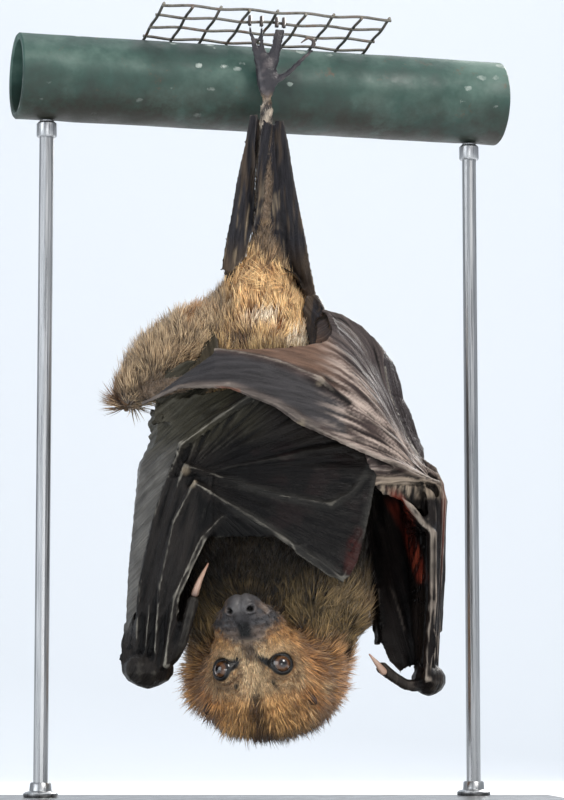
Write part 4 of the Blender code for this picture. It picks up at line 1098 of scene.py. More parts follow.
def coat_tree():
    """Tufts scattered over a skin by its attributes, leaning along its fur_way, as one plain mesh."""
    tree, entry = open_tree("coat", "Coat", Skin="Geometry", Tufts="Collection", Slice="Float",
                            Density="Float", Seed="Int", Finish="Material")

    # Roots, as many as fur_crowd asks for, of which one slice is kept.
    crowded = number_of(tree, "MULTIPLY", named(tree, "fur_crowd"), entry.outputs["Density"])
    spread = step(tree, "GeometryNodeDistributePointsOnFaces",
                  {"Mesh": entry.outputs["Skin"], "Density": crowded, "Seed": entry.outputs["Seed"]})
    off = number_of(tree, "ABSOLUTE",
                    number_of(tree, "SUBTRACT", named(tree, "fur_slice"), entry.outputs["Slice"]))
    kept = step(tree, "GeometryNodeSeparateGeometry", {"Geometry": spread.outputs["Points"],
                                                       "Selection": number_of(tree, "LESS_THAN", off, 0.5)})

    # Each tuft leans from the normal towards fur_way by fur_lift, and spreads a little by chance.
    normal = spread.outputs["Normal"]
    jitter = step(tree, "FunctionNodeRandomValue", {"Seed": 3}, data_type="FLOAT_VECTOR")
    jitter.inputs[0].default_value = (-STRAY,) * 3
    jitter.inputs[1].default_value = (STRAY,) * 3
    along = vector_of(tree, "ADD", named(tree, "fur_way", "FLOAT_VECTOR"), jitter.outputs[0])
    rise = vector_of(tree, "DOT_PRODUCT", along, normal)
    level = vector_of(tree, "SUBTRACT", along, vector_of(tree, "SCALE", normal, rise))
    level = vector_of(tree, "NORMALIZE", level)
    lifted = number_of(tree, "MULTIPLY", named(tree, "fur_lift"), random_from(tree, *LIFT_SPREAD, 5))
    flat_share = vector_of(tree, "SCALE", level, number_of(tree, "COSINE", lifted))
    up_share = vector_of(tree, "SCALE", normal, number_of(tree, "SINE", lifted))
    hair_way = vector_of(tree, "ADD", flat_share, up_share)
    turned = step(tree, "FunctionNodeAxesToRotation", {"Primary Axis": hair_way, "Secondary Axis": normal},
                  primary_axis="Z", secondary_axis="Y")
    tall = number_of(tree, "MULTIPLY", named(tree, "fur_length"), random_from(tree, *LENGTH_SPREAD, 7))
    broad = number_of(tree, "ADD", number_of(tree, "MULTIPLY", tall, TUFT_BREADTH), TUFT_BASE)
    sized = step(tree, "ShaderNodeCombineXYZ", {"X": broad, "Y": broad, "Z": tall}).outputs[0]

    # The tufts themselves, with the place of each root on the unwrapped skin as their UV map.
    kinds = step(tree, "GeometryNodeCollectionInfo", {"Collection": entry.outputs["Tufts"],
                                                      "Separate Children": True, "Reset Children": True})
    which = step(tree, "FunctionNodeRandomValue", {"Seed": 11}, data_type="INT")
    which.inputs[4].default_value = 0
    which.inputs[5].default_value = TUFT_KINDS - 1
    shade = random_from(tree, 0.0, 1.0, 13)
    root_uv = named(tree, "unwrap", "FLOAT_VECTOR")
    roots = stored(tree, kept.outputs["Selection"], "shade", shade, "FLOAT")
    roots = stored(tree, roots, "root_uv", root_uv, "FLOAT_VECTOR")
    placed = step(tree, "GeometryNodeInstanceOnPoints",
                  {"Points": roots, "Instance": kinds.outputs[0], "Pick Instance": True,
                   "Instance Index": which.outputs[2], "Rotation": turned.outputs[0], "Scale": sized})
    real = step(tree, "GeometryNodeRealizeInstances", {"Geometry": placed.outputs["Instances"]})
    patch_size = vector_of(tree, "SCALE", named(tree, "patch", "FLOAT_VECTOR"), BAKE_PATCH)
    spot = vector_of(tree, "ADD", named(tree, "root_uv", "FLOAT_VECTOR"), patch_size)
    out = stored(tree, real.outputs["Geometry"], "OFBake", spot, "FLOAT2", "CORNER")
    for name in ("fur_way", "fur_length", "fur_lift", "fur_crowd", "fur_slice", "root_uv", "patch", "unwrap",
                 "furred"):
        out = step(tree, "GeometryNodeRemoveAttribute", {"Geometry": out, "Name": name}).outputs["Geometry"]
    return close_tree(tree, out, entry.outputs["Finish"])


def fur_finish():
    """Hairs dark at the root and light towards the tip, no two tufts quite alike."""
    material, tree, shader = finish("bat_fur", Roughness=0.5, Specular_IOR_Level=0.35, Sheen_Weight=0.15,
                                    Sheen_Roughness=0.4)
    along = rescale(tree, attribute(tree, "tip", "Fac"), 0.1, 0.6)
    light = ramp(tree, attribute(tree, "shade", "Fac"), (0.1, 0.4), (0.6, 1.0))
    along = number_of(tree, "MULTIPLY", along, light)
    colour = mix(tree, along, attribute(tree, "coat"), attribute(tree, "tips"))
    varied = number_of(tree, "MULTIPLY", attribute(tree, "shade", "Fac"), 0.6)
    varied = number_of(tree, "ADD", varied, number_of(tree, "MULTIPLY", attribute(tree, "tone", "Fac"), 0.4))
    colour = mix(tree, 0.9, colour, ramp(tree, varied, (0.05, 0.45), (0.5, 1.0), (0.95, 1.6)), "MULTIPLY")
    feed(tree, shader, Base_Color=colour)
    return material


unwrapped(skin, "unwrap")
tufts = bpy.data.collections.new("tufts")
for number in range(TUFT_KINDS):
    tufts.objects.link(tuft(number))
coat_grower = coat_tree()
hair_finish = fur_finish()
for number in range(slices):
    name = "coat_%d" % (number + 1)
    fur = grown(name, skin, coat_grower, Tufts=tufts, Slice=float(number), Density=TUFTS_PER_SQUARE_METRE,
                Seed=TUFT_SEED, Finish=hair_finish)
    fur.materials.clear()
    fur.materials.append(hair_finish)
    fur.polygons.foreach_set("material_index", [0] * len(fur.polygons))
    piece(name, fur, "golden_fur")
for thing in list(tufts.objects):
    bpy.data.objects.remove(thing)
bpy.data.collections.remove(tufts)

# ---------------------------------------------------------------- wings
# Each folded wing is one sheet of dark, elastic skin over thin arm and finger bones. The bones stand out as
# ridges and slack skin between them lies in pleats. Red is painted where light would shine through the thin
# skin, crests are painted pale as highlights and grooves dark as shade.

WING_BONES = ("forearm", "wrist", "thumb", "digit_2", "digit_3", "digit_4", "digit_5")
WING_SHEETS = ("propatagium", "dorsal_membrane", "plagiopatagium", "membrane_2_3", "membrane_3_4",
               "membrane_4_5")
WING_VOXEL = 0.77 * MM
WING_CLOSING = 0.85 * MM
SHEET_HALF = 0.45
SHEET_LAP = 1.4
BODY_LAP = 6.0


def edge_at(names, height, sign, start=-999.0, end=999.0):
    """The outermost point of CAD nodes at a height, on the side that sign gives, for x from start to end."""
    best = None
    for name in names:
        data = frame["nodes"][name].data
        spots = points_of(data)
        for first, last in {tuple(sorted(key)) for f in data.polygons for key in f.edge_keys}:
            low, high = spots[first], spots[last]
            if (low[2] - height) * (high[2] - height) < 0:
                spot = low + (high - low) * (height - low[2]) / (high[2] - low[2])
                if start < spot[0] < end and (best is None or (spot[0] - best[0]) * sign > 0):
                    best = spot
    return best


def sheet_between(rows, lap=SHEET_LAP, half=SHEET_HALF):
    """A closed thin sheet through rows of two points, each in millimetres, which runs on past the second."""
    verts, faces = [], []
    for first, last in rows:
        along = (last - first) / max(np.linalg.norm(last - first), 1e-6)
        thick = np.array((0.0, half, 0.0))
        first, last = first - along * SHEET_LAP, last + along * lap
        verts += [first - thick, last - thick, last + thick, first + thick]
    count = len(rows)
    for row in range(count - 1):
        for k in range(4):
            after = (k + 1) % 4
            faces.append((4 * row + k, 4 * row + after, 4 * row + 4 + after, 4 * row + 4 + k))
    faces += [(3, 2, 1, 0), tuple(4 * (count - 1) + k for k in range(4))]
    mesh = bpy.data.meshes.new("sheet")
    mesh.from_pydata([Vector(v) * MM for v in verts], [], faces)
    work = bmesh.new()
    work.from_mesh(mesh)
    bmesh.ops.recalc_face_normals(work, faces=work.faces)
    work.to_mesh(mesh)
    work.free()
    return mesh


def gusset(first, last, low, high, lap=SHEET_LAP, taper=0.0):
    """Skin between two sets of CAD nodes from one height to another; each end is (names, sign, x limits).
    With a taper it starts narrow, and is fully wide that much higher up."""
    rows = []
    for height in np.linspace(low, high, max(3, int((high - low) / 2.5))):
        ends = [edge_at(end[0], height, *end[1:]) for end in (first, last)]
        if ends[0] is not None and ends[1] is not None:
            share = min(1.0, 0.12 + (height - low) / taper) if taper else 1.0
            rows.append((ends[0], ends[0] + (ends[1] - ends[0]) * share))
    return sheet_between(rows, lap)


def distance_to(name, points):
    """How far each point is from a CAD node, in millimetres."""
    data = frame["nodes"][name].data
    tree = BVHTree.FromPolygons([v.co for v in data.vertices], [list(f.vertices) for f in data.polygons])
    return np.array([tree.find_nearest(Vector(spot) * MM)[3] for spot in points]) / MM


def thin_skin(names, extras, voxel, closing):
    """Bones and sheets fused to one thin skin: swollen until small gaps close, then drawn in again."""
    mesh = remeshed(joined(names, closing, extras), voxel, 3)
    web = neighbours_of(mesh)
    points = points_of(mesh)
    for _ in range(4):
        points = blurred(points - normals_of(mesh) * (closing / MM - 0.15) / 4, web, 1)
        set_points(mesh, points)
    return mesh, web, points


# Folds of slack skin, each a row of crossings from one edge to the other.
ROOF = (((37.0, -34.0, 146.5), (42.0, -29.0, 134.5)), ((43.0, -32.0, 143.5), (45.0, -27.5, 132.0)),
        ((50.0, -29.5, 140.5), (52.0, -24.5, 129.5)), ((60.0, -24.0, 137.0), (60.3, -21.0, 126.0)),
        ((67.0, -17.5, 134.5), (66.6, -16.0, 124.0)))
CORNER = (((61.5, -17.5, 142.0), (62.0, -20.0, 120.0)), ((66.0, -13.5, 141.0), (66.5, -15.5, 120.0)),
          ((69.5, -9.5, 139.0), (70.0, -11.0, 120.0)))
KNEE = (((-51.0, -13.0, 162.0), (-50.0, -12.0, 176.0)), ((-43.0, -15.0, 162.0), (-42.0, -12.0, 181.0)),
        ((-34.0, -17.0, 162.0), (-34.0, -13.0, 184.0)), ((-25.0, -18.0, 164.0), (-26.0, -14.0, 186.0)))
LOBE_ROOT = (((20.5, -12.0, 205.4), (23.2, -19.0, 205.0)), ((20.3, -14.0, 202.0), (25.0, -21.5, 202.0)),
             ((20.0, -17.0, 197.0), (26.5, -25.5, 197.0)), ((19.5, -20.0, 191.0), (27.5, -27.5, 191.0)))


def fold_of_skin(rows, half=SHEET_HALF):
    """A sheet through rows of two given places, in millimetres."""
    return sheet_between([tuple(np.array(spot) for spot in row) for row in rows], half=half)


def side_skin(side):
    """The slack skin between fingers, arm and flank, which closes a wing when it is folded."""
    def n(*bases):
        return [base + "_" + side for base in bases]

    sign = 1.0 if side == "right" else -1.0
    sheets = [gusset((n("propatagium"), -sign), (["trunk", "neck"], sign), 72.0, 142.0, BODY_LAP, 30.0)]
    if side == "right":
        lobe = n("plagiopatagium", "digit_5")
        sheets.append(gusset((n("propatagium"), 1), (n("digit_2"), -1), 62.0, 128.0))
        sheets.append(gusset((n("digit_2"), 1), (n("digit_3"), -1, 60.0), 66.0, 76.0))
        sheets.append(gusset((lobe, -1, 12.0), (["trunk"], 1), 186.0, 205.0, BODY_LAP))
        return sheets + [fold_of_skin(ROOF), fold_of_skin(CORNER), fold_of_skin(LOBE_ROOT, 0.8)]
    tip = n("digit_2", "membrane_2_3")
    for first, last in (("digit_5", "digit_4"), ("digit_4", "digit_3"), ("digit_3", "digit_2")):
        sheets.append(gusset((n(first), 1, -99.0, -20.0), (n(last), -1), 68.0, 86.0))
    sheets.append(gusset((n("digit_3"), -1, 8.0), (n("digit_3"), 1), 96.5, 109.0))
    sheets.append(gusset((tip, 1, -99.0, -17.5), (n("digit_3"), -1, -27.0), 119.0, 132.0))
    sheets.append(gusset((n("membrane_2_3"), 1), (n("digit_3"), -1, -27.5), 112.0, 130.0, 3.0))
    sheets.append(gusset((n("digit_4"), 1, -99.0, -26.0), (n("digit_4"), -1, -26.0), 131.0, 138.0))
    sheets.append(fold_of_skin(KNEE))
    outer, wrist = edge_at(n("plagiopatagium"), 81.0, -1), edge_at(n("wrist"), 62.0, -1)
    rows = []
    for share in np.linspace(0.0, 1.0, 7):
        rim = outer * (1 - share) + wrist * share
        rows.append((rim, edge_at(n("digit_5"), max(rim[2], 67.5), -1)))
    return sheets + [sheet_between(rows)]


# The creases of each wing spread like a fan from one place, and are this wide for each radian.
RIGHT_FAN, RIGHT_FAN_WIDTH = (74.0, -11.0, 131.0), 45.0
LEFT_FAN, LEFT_FAN_WIDTH = (-34.0, 137.0), 36.0
PANEL_SLOPE = math.radians(30)


def pleat_lines(side, points, near):
    """Places measured across and along the way in which the skin is creased, in millimetres."""
    x, y, z = points.T
    if side == "right":
        inward, back, up = RIGHT_FAN[0] - x, y - RIGHT_FAN[1], z - RIGHT_FAN[2]
        level = np.hypot(inward, back)
        turn = np.arctan2(up, level) + (0.6 + 1.4 * soft(y, -11.0, -2.0)) * np.arctan2(back, inward)
        fan = np.column_stack([turn * RIGHT_FAN_WIDTH, np.hypot(up, level)])
        upright = np.column_stack([x + 0.6 * y, z])
        return np.where(soft(z, 140.0, 128.0)[:, None] > 0.5, upright, fan)
    inward, up = x - LEFT_FAN[0], z - LEFT_FAN[1]
    fan = np.column_stack([np.arctan2(up, inward) * LEFT_FAN_WIDTH, np.hypot(up, inward)])
    bundle = np.column_stack([0.974 * x - 0.225 * z + 0.4 * y, 0.225 * x + 0.974 * z])
    rise, run = math.sin(PANEL_SLOPE), math.cos(PANEL_SLOPE)
    panel = np.column_stack([z * run - x * rise + 0.004 * (x + 20.0) ** 2, x * run + z * rise])
    on_panel = (near == "plagiopatagium") | (near == "digit_5") & (z > 148.0)
    on_panel |= (near == "membrane_4_5") & (x < -36.0) & (z > 150.0)
    in_bundle = (z < 137.0) & (x < -22.0)
    return np.where(on_panel[:, None], panel, np.where(in_bundle[:, None], bundle, fan))


def along_line(points, start, end, wide):
    """1 beside a line in the XZ plane, fading to 0 at the width wide."""
    start, end = np.array(start), np.array(end)
    flat = points[:, (0, 2)]
    share = np.clip((flat - start) @ (end - start) / ((end - start) @ (end - start)), 0.0, 1.0)
    return soft(np.linalg.norm(flat - start - share[:, None] * (end - start), axis=1), wide, wide * 0.35)


def membrane_finish():
    """Creased, slightly glossy bare skin, its fine lines along the folds."""
    material, tree, shader = finish("wing_membrane", Specular_IOR_Level=0.12)
    folds = step(tree, "ShaderNodeMapping", {"Vector": attribute(tree, "folds", "Vector"),
                                             "Scale": (1.0, 0.07, 1.0)}).outputs["Vector"]
    place = object_place(tree)
    lines = grain(tree, folds, 0.9, 5.0, 0.6, 0.4)
    fine_lines = grain(tree, folds, 2.6, 3.0, 0.6, 0.2)
    mottle = grain(tree, place, 130.0, 5.0, 0.6)
    colour = attribute(tree, "shade")
    # Painted shade and light: the colour is darker along the low lines of the relief and lighter along the
    # high ones.
    colour = mix(tree, 0.75, colour, ramp(tree, lines, (0.3, 0.2), (0.64, 0.68)), "OVERLAY")
    colour = mix(tree, 0.3, colour, ramp(tree, mottle, (0.3, 0.3), (0.7, 0.72)), "OVERLAY")
    feed(tree, shader, Base_Color=colour)
    feed(tree, shader, Roughness=ramp(tree, mottle, (0.3, 0.34), (0.7, 0.52)))
    bump(tree, shader, lines, 0.0011, 0.7)
    bump(tree, shader, fine_lines, 0.00035, 0.7)
    crepe = step(tree, "ShaderNodeTexVoronoi", {"Vector": place, "Scale": 700.0}, feature="DISTANCE_TO_EDGE")
    bump(tree, shader, crepe.outputs["Distance"], 0.00025, 0.6)
    return material


PLEAT_DEPTH = 0.42


def creased(mesh, web, points, folds, slack):
    """Presses the creases into the surface where it is slack, and keeps their lines for the finish."""
    pleats = cloud(folds, (2.6, 30.0, 1.0), 3.0, 2) + 0.7 * cloud(folds, (5.5, 45.0, 1.0), 8.0, 1)
    points = points + normals_of(mesh) * (PLEAT_DEPTH * pleats * slack)[:, None]
    set_points(mesh, points)
    keep(mesh, "folds", folds)
    rise = ((points - blurred(points, web, 14)) * normals_of(mesh)).sum(axis=1)
    points = points + normals_of(mesh) * np.clip(0.9 * rise, -0.5, 0.5)[:, None]
    set_points(mesh, points)
    return points, rise


def flattened(folds):
    """Fold lines as places in space, at height 0."""
    return np.column_stack([folds, np.zeros(len(folds))])


def share_of(where, web, rounds):
    """How much of a choice of vertices there is near each vertex, from 0 to 1."""
    return blurred(where.astype(float), web, rounds)


# Painted highlight on the crests of creases and bones, and painted shade in the grooves.
WING_DARK, WING_CREST_HIGHLIGHT, WING_GROOVE_SHADE = (36, 33, 31), (152, 140, 128), (12, 11, 11)
LEFT_CREST_HIGHLIGHT = (142, 137, 126)
# Small pale painted highlights on the knuckles.
KNUCKLE_HIGHLIGHT = (150, 136, 116)
KNUCKLES = {"left": ((-33.4, -34.0, 139.5), (-30.6, -38.0, 133.8)),
            "right": ((20.0, -42.0, 174.0), (12.5, -46.0, 157.0))}
# The side of the right wing between elbow and corner: where it lies, and how far it is drawn in, by height.
SIDE_AT = ((134.0, 147.6, 160.0, 173.0, 186.0), (72.5, 70.3, 66.0, 61.0, 51.6))
SIDE_DRAWN_IN = ((130.0, 136.0, 147.6, 160.0, 173.0, 186.0, 194.0), (0.0, 1.5, 7.0, 7.4, 7.0, 2.4, 0.0))
BAND = ("membrane_3_4", "membrane_4_5", "digit_3", "digit_4", "digit_5", "plagiopatagium")

membrane = membrane_finish()
bases = WING_BONES + WING_SHEETS
for side in ("left", "right"):
    names = [n + "_" + side for n in bases]
    mesh, web, points = thin_skin(names, side_skin(side), WING_VOXEL, WING_CLOSING)
    away = np.array([distance_to(n, points) for n in names])
    near = np.array(bases)[away.argmin(axis=0)]
    if side == "right":
        edge, excess = np.interp(points[:, 2], *SIDE_AT), np.interp(points[:, 2], *SIDE_DRAWN_IN)
        points[:, 0] -= excess * soft(points[:, 0], edge - 20.0, edge)
    else:
        points[:, 0] += 4.0 * soft(points[:, 2], 142.0, 156.0) * soft(points[:, 0], -36.0, -52.0)
    set_points(mesh, points)

    # Creases, deep where the skin is slack and shallow over bone and on the wing's calm middle. The crests
    # of the creases get a painted highlight, strongest where lit is high, and the grooves painted shade.
    bony = blurred(soft(away[:len(WING_BONES)].min(axis=0), 1.2, 0.3), web, 2)
    folds = flattened(pleat_lines(side, points, near))
    stiff = share_of(np.isin(near, ("wrist", "thumb", "forearm")), web, 4)
    lit = (1 - 0.85 * stiff) * (0.62 + 0.5 * cloud(points_of(mesh), 5.0, 14.0, 2))
    calm = share_of((near == "membrane_3_4") & (side == "right") & (points[:, 0] < 30.0), web, 6)
    slack = (1 - 0.8 * bony) * (1 - 0.7 * stiff) * (1 - 0.85 * calm)
    slack *= 1 + 0.9 * soft(points[:, 2], 136.0, 152.0) * (side == "left")
    slack *= 1 - 0.6 * soft(points[:, 0], -50.0, -55.0)
    points, rise = creased(mesh, web, points, folds, slack)

    x, y, z = points.T
    blotch = cloud(points, 11.0, 6.0, 3)
    streak = cloud(folds, (1.7, 24.0, 1.0), 9.0, 3)
    crest = soft(rise, np.percentile(rise, 84), np.percentile(rise, 95))
    groove = soft(rise, np.percentile(rise, 30), np.percentile(rise, 8))
    shade = Tint(len(points), WING_DARK)
    if side == "left":
        # A greyer panel at the side, painted deep shade in the middle, between the fingers and below them,
        # and bones made pale along their crests by painted highlights.
        panel = share_of(near == "plagiopatagium", web, 5)
        middle = soft(x, -30.0, -12.0)
        shade.lay((98, 95, 90), panel * soft(x, -20.0, -46.0) * (0.85 + 0.4 * blotch))
        shade.lay((58, 55, 44), soft(z, 144.0, 156.0) * soft(x, 4.0, -16.0) * 0.8)
        shade.lay((11, 9, 10), middle * soft(z + 0.3 * x, 158.0, 144.0))
        # Painted shade under the line of the fingers, where the chest below lies in shadow.
        shade.lay((7, 6, 7), middle * soft(z + 0.4 * x, 113.5, 109.0) * (1 - bony))
        shade.lay((28, 20, 20), middle * soft(blotch, 0.0, 0.6) * 0.6)
        # Painted shade below the third finger.
        shade.lay((9, 8, 8), soft(z + 0.652 * (x + 30.6), 132.0, 129.5) * soft(x, -31.0, -27.0) * (1 - bony))
        shade.lay((42, 41, 39), soft(x, -26.0, -6.0) * bony * 0.8)
        # Painted glow: dim red where light would shine through the thin skin near the finger tips.
        shade.lay((50, 18, 15), along_line(points, (34.5, 114.0), (32.0, 100.0), 4.0)
                  * soft(blotch, -0.5, 0.2) * 0.7)
        inner_edge = soft(x, 24.0, 29.0) * soft(z, 100.0, 104.0)
        shade.lay(LEFT_CREST_HIGHLIGHT, crest * (0.12 + 0.75 * bony) * (1 - 0.5 * middle) * (1 - 0.8 * inner_edge)
                  * lit)
        shade.lay(WING_GROOVE_SHADE, groove * (1 - 0.7 * panel) * 0.9)
    else:
        # The band over the top, with its brown upper lobe and grey middle, streaked with painted sheen and
        # painted shade along its folds.
        flank = soft(y, -16.0, -6.0)
        band = (share_of(np.isin(near, BAND), web, 4)
                * soft(z - 14.0 * flank * np.sin(0.5 * y), 128.0 - 24.0 * flank, 140.0))
        upper = share_of((near == "membrane_4_5") & (x < 34.0), web, 4)
        lobe = share_of(near == "plagiopatagium", web, 4) * soft(z, 140.0, 160.0)
        shade.lay((68, 58, 55), band)
        shade.lay((108, 84, 70), upper * soft(x, 36.0, 16.0) * soft(z, 197.0, 192.0) * 0.8)
        shade.lay((56, 54, 55), calm)
        shade.lay((68, 65, 68), lobe)
        over = soft(z + 1.29 * x, 221.0, 227.0) * soft(z, 146.0, 156.0)
        shade.lay((64, 58, 58), over * 0.85)
        # Painted sheen in pale streaks, with painted shade in the dark streaks between them.
        painted_sheen = band * soft(x, 16.0, 34.0) * (1 - 0.9 * lobe) * (1 - 0.8 * flank) * (1 - 0.85 * over)
        shade.lay((184, 166, 154), painted_sheen * soft(streak, -0.25, 0.55) * 0.85)
        shade.lay((44, 36, 36), painted_sheen * soft(streak, -0.2, -0.7) * 0.8)

        # Its rim, painted shade in the notch by the knuckle, a painted highlight along the edge that runs
        # down to the corner, and a patchy orange glow painted on the rim where light would shine through.
        rim = share_of((near == "digit_3") & (x < 20.0), web, 2)
        lit = lit * (1 - 0.6 * rim)
        shade.lay((84, 77, 73), rim * 0.9)
        # Painted shade in the groove by the knuckle.
        shade.lay((18, 15, 15), along_line(points, (20.8, 173.4), (31.5, 165.6), 1.7)
                  * soft(y, -20.0, -28.0) * 0.95)
        # Painted highlight along the edge down to the corner.
        edge_highlight = np.maximum(along_line(points, (47.0, 184.0), (51.0, 168.0), 0.9),
                                along_line(points, (51.0, 168.0), (60.0, 148.0), 0.9))
        shade.lay((196, 186, 170), edge_highlight * soft(np.abs(y + 6.0), 2.2, 0.8) * 0.4)
        # Painted glow: orange on the rim where light would shine through.
        shade.lay((122, 74, 54), along_line(points, (-24.0, 171.2), (-12.5, 169.4), 1.5)
                  * soft(blotch, -0.4, 0.3) * 0.75)

        # The column under it, darkened by painted shade below the band, its crumpled top a light flap with a
        # painted highlight, and red painted between its bones where light would shine through thin skin.
        # Painted shade below the band.
        shade.lay((26, 22, 21), soft(z, 133.0, 127.0 - 24.0 * flank) * 0.9)
        # A light flap of skin at the column's top, with a painted highlight.
        shade.lay((140, 126, 110), soft(z, 128.0, 131.0) * soft(z, 141.0, 137.0) * soft(x, 34.0, 42.0)
                  * soft(streak, -0.5, 0.4) * (1 - flank) * 0.85)
        # Painted glow: red where light would shine through the thin skin.
        red = np.maximum(along_line(points, (46.5, 138.0), (55.5, 120.0), 3.4),
                         along_line(points, (55.0, 122.0), (61.0, 97.0), 2.8)) * soft(z, 90.0, 102.0)
        red *= soft(z, 135.0, 127.0)
        shade.lay((104, 44, 34), red * (0.85 + 0.3 * blotch))
        shade.lay((170, 84, 62), red * soft(z, 128.0, 122.0) * soft(blotch + streak, 0.2, 0.9) * 0.6)
        # Painted rim light: reddish along the right edge.
        shade.lay((118, 66, 54), soft(x, 68.4, 70.6) * soft(y, -9.0, -13.0) * soft(z, 62.0, 80.0) * 0.5)
        shade.lay(WING_CREST_HIGHLIGHT, crest * (0.2 + 0.6 * bony) * (1 - 0.8 * calm) * (1 - 0.5 * red)
                  * (1 - 0.85 * over) * (1 - 0.7 * lobe) * lit)
        shade.lay(WING_GROOVE_SHADE, groove * 0.85 * (1 - 0.8 * calm))
    # Painted highlights on the knuckles.
    knuckles = np.zeros(len(points))
    for spot in KNUCKLES[side]:
        knuckles = np.maximum(knuckles, soft(np.linalg.norm(points - np.array(spot), axis=1), 2.6, 1.0))
    shade.lay(KNUCKLE_HIGHLIGHT, knuckles * 0.65)
    shade.store(mesh, "shade")
    mesh.shade_smooth()
    mesh.materials.append(membrane)
    piece("wing_" + side, mesh, "wing_skin", *names)

# ---------------------------------------------------------------- leg membranes
# A narrow web of the same skin as the wings runs down each side of the right shank, and another from the
# left knee. They are wrinkled lengthwise, and run out under the fur of thigh and rump.

LEG_WEBS = ("uropatagium_right", "leg_membrane_right", "leg_membrane_left")
LEG = ["shank_right", "thigh_right", "trunk"]
GROIN = (((16.5, -3.5, 214.0), (18.4, -4.5, 214.0)), ((14.5, -5.0, 208.0), (20.8, -9.5, 208.0)),
         ((15.5, -7.0, 202.0), (20.8, -13.5, 202.0)), ((16.5, -9.0, 196.0), (20.6, -16.5, 196.0)),
         ((17.5, -11.0, 190.0), (20.4, -19.5, 190.0)))
HIP_LEVELS = (229.0, 224.0, 219.0, 215.0)
HIP_START, HIP_END = np.array((-5.0, 0.6, 0.0)), np.array((1.0, 0.6, 0.0))
TAIL_LEVEL = 227.0
# Each step of the tail's sheet: how far its outer end goes inwards, and how far both go back and up.
TAIL_STEPS = ((0.0, 0.5, -0.6), (0.6, 1.2, -3.5), (2.4, 2.6, -8.0))
KNEE_WEB_BACK = 7.0

hip = [edge_at(["leg_membrane_right"], height, -1) for height in HIP_LEVELS]
tail_outer, tail_inner = (edge_at(["uropatagium_right"], TAIL_LEVEL, sign) for sign in (-1, 1))
tail = [(tail_outer + np.array((1.9 + inward, back, up)), tail_inner + np.array((-2.0, back, up)))
        for inward, back, up in TAIL_STEPS]
sheets = [gusset((["uropatagium_right"], 1), (LEG, -1), 225.5, 288.0, 5.5),
          gusset((["leg_membrane_right"], -1), (LEG, 1), 211.0, 286.0, 9.0),
          fold_of_skin(GROIN, 1.0),
          fold_of_skin([(spot + HIP_START, spot + HIP_END) for spot in hip], 0.7),
          fold_of_skin(tail)]
mesh, web, points = thin_skin(LEG_WEBS, sheets, 0.62 * MM, 0.6 * MM)
points[:, 1] += KNEE_WEB_BACK * soft(points[:, 0], -12.0, -18.0) * soft(points[:, 2], 214.0, 204.0)
set_points(mesh, points)
x, y, z = points.T
folds = flattened(np.column_stack([x + 0.5 * y + (288.0 - z) * 0.12 * np.sign(-x), z]))
points, rise = creased(mesh, web, points, folds, np.full(len(points), 0.8))
x, y, z = points.T
shade = Tint(len(points), (44, 43, 46))
shade.lay((84, 72, 60), soft(cloud(points, (3.0, 3.0, 24.0), 5.0), 0.0, 0.5) * 0.6)
shade.lay((78, 66, 54), soft(z, 240.0, 226.0) * soft(z, 208.0, 216.0) * 0.5)
shade.lay((62, 56, 44), soft(x, -12.0, -18.0) * soft(z, 214.0, 204.0) * 0.8)
# Pale on the faces turned to the right: a frayed pale edge, with painted light on that side.
shade.lay((150, 134, 112), soft(normals_of(mesh)[:, 0], 0.5, 0.85) * soft(z, 268.0, 250.0)
          * soft(cloud(points, (4.0, 4.0, 9.0), 6.0), -0.2, 0.3) * 0.7)
# Painted shade in the grooves of the creases and a painted highlight on their crests.
shade.lay((20, 18, 18), soft(rise, -0.05, -0.3) * 0.7)
shade.lay((104, 98, 92), soft(rise, 0.08, 0.35) * 0.5)
shade.store(mesh, "shade")
mesh.shade_smooth()
mesh.materials.append(membrane)
piece("leg_webs", mesh, "wing_skin", *LEG_WEBS)

# ---------------------------------------------------------------- eyes
# Glossy balls that sit in the lids: a clear domed cornea over a brown iris with fine rays and a small dark
# pupil, and a black rim round it.

EYE_RINGS, EYE_SIDES = 56, 72
CORNEA_EDGE = math.radians(38)
CORNEA_RISE = 0.35


def eye(side):
    """An eyeball whose pole looks along the gaze, with the angle off its axis kept for the finish."""
    turn = gaze[side].to_track_quat("Z", "Y").to_matrix()
    verts, faces, off_axis, around_axis = [], [], [], []
    for ring in range(EYE_RINGS + 1):
        angle = math.pi * ring / EYE_RINGS
        dome = math.cos(angle / CORNEA_EDGE * math.pi / 2) if angle < CORNEA_EDGE else 0.0
        radius = EYE_BALL + CORNEA_RISE * max(0.0, dome)
        for k in range(1 if ring in (0, EYE_RINGS) else EYE_SIDES):
            turn_at = math.tau * k / EYE_SIDES
            spot = Vector((math.sin(angle) * math.cos(turn_at), math.sin(angle) * math.sin(turn_at),
                           math.cos(angle)))
            verts.append((eye_at[side] + turn @ spot * radius) * MM)
            off_axis.append(math.degrees(angle))
            around_axis.append((math.cos(turn_at), math.sin(turn_at), angle))
    last = len(verts) - 1
    for k in range(EYE_SIDES):
        after = (k + 1) % EYE_SIDES
        faces.append((0, 1 + k, 1 + after))
        faces.append((last, last - EYE_SIDES + after, last - EYE_SIDES + k))
        for ring in range(EYE_RINGS - 2):
            base = 1 + ring * EYE_SIDES
            faces.append((base + k, base + EYE_SIDES + k, base + EYE_SIDES + after, base + after))
    mesh = bpy.data.meshes.new("eye")
    mesh.from_pydata(verts, [], faces)
    keep(mesh, "off_axis", off_axis)
    keep(mesh, "around_axis", around_axis)
    mesh.shade_smooth()
    return mesh


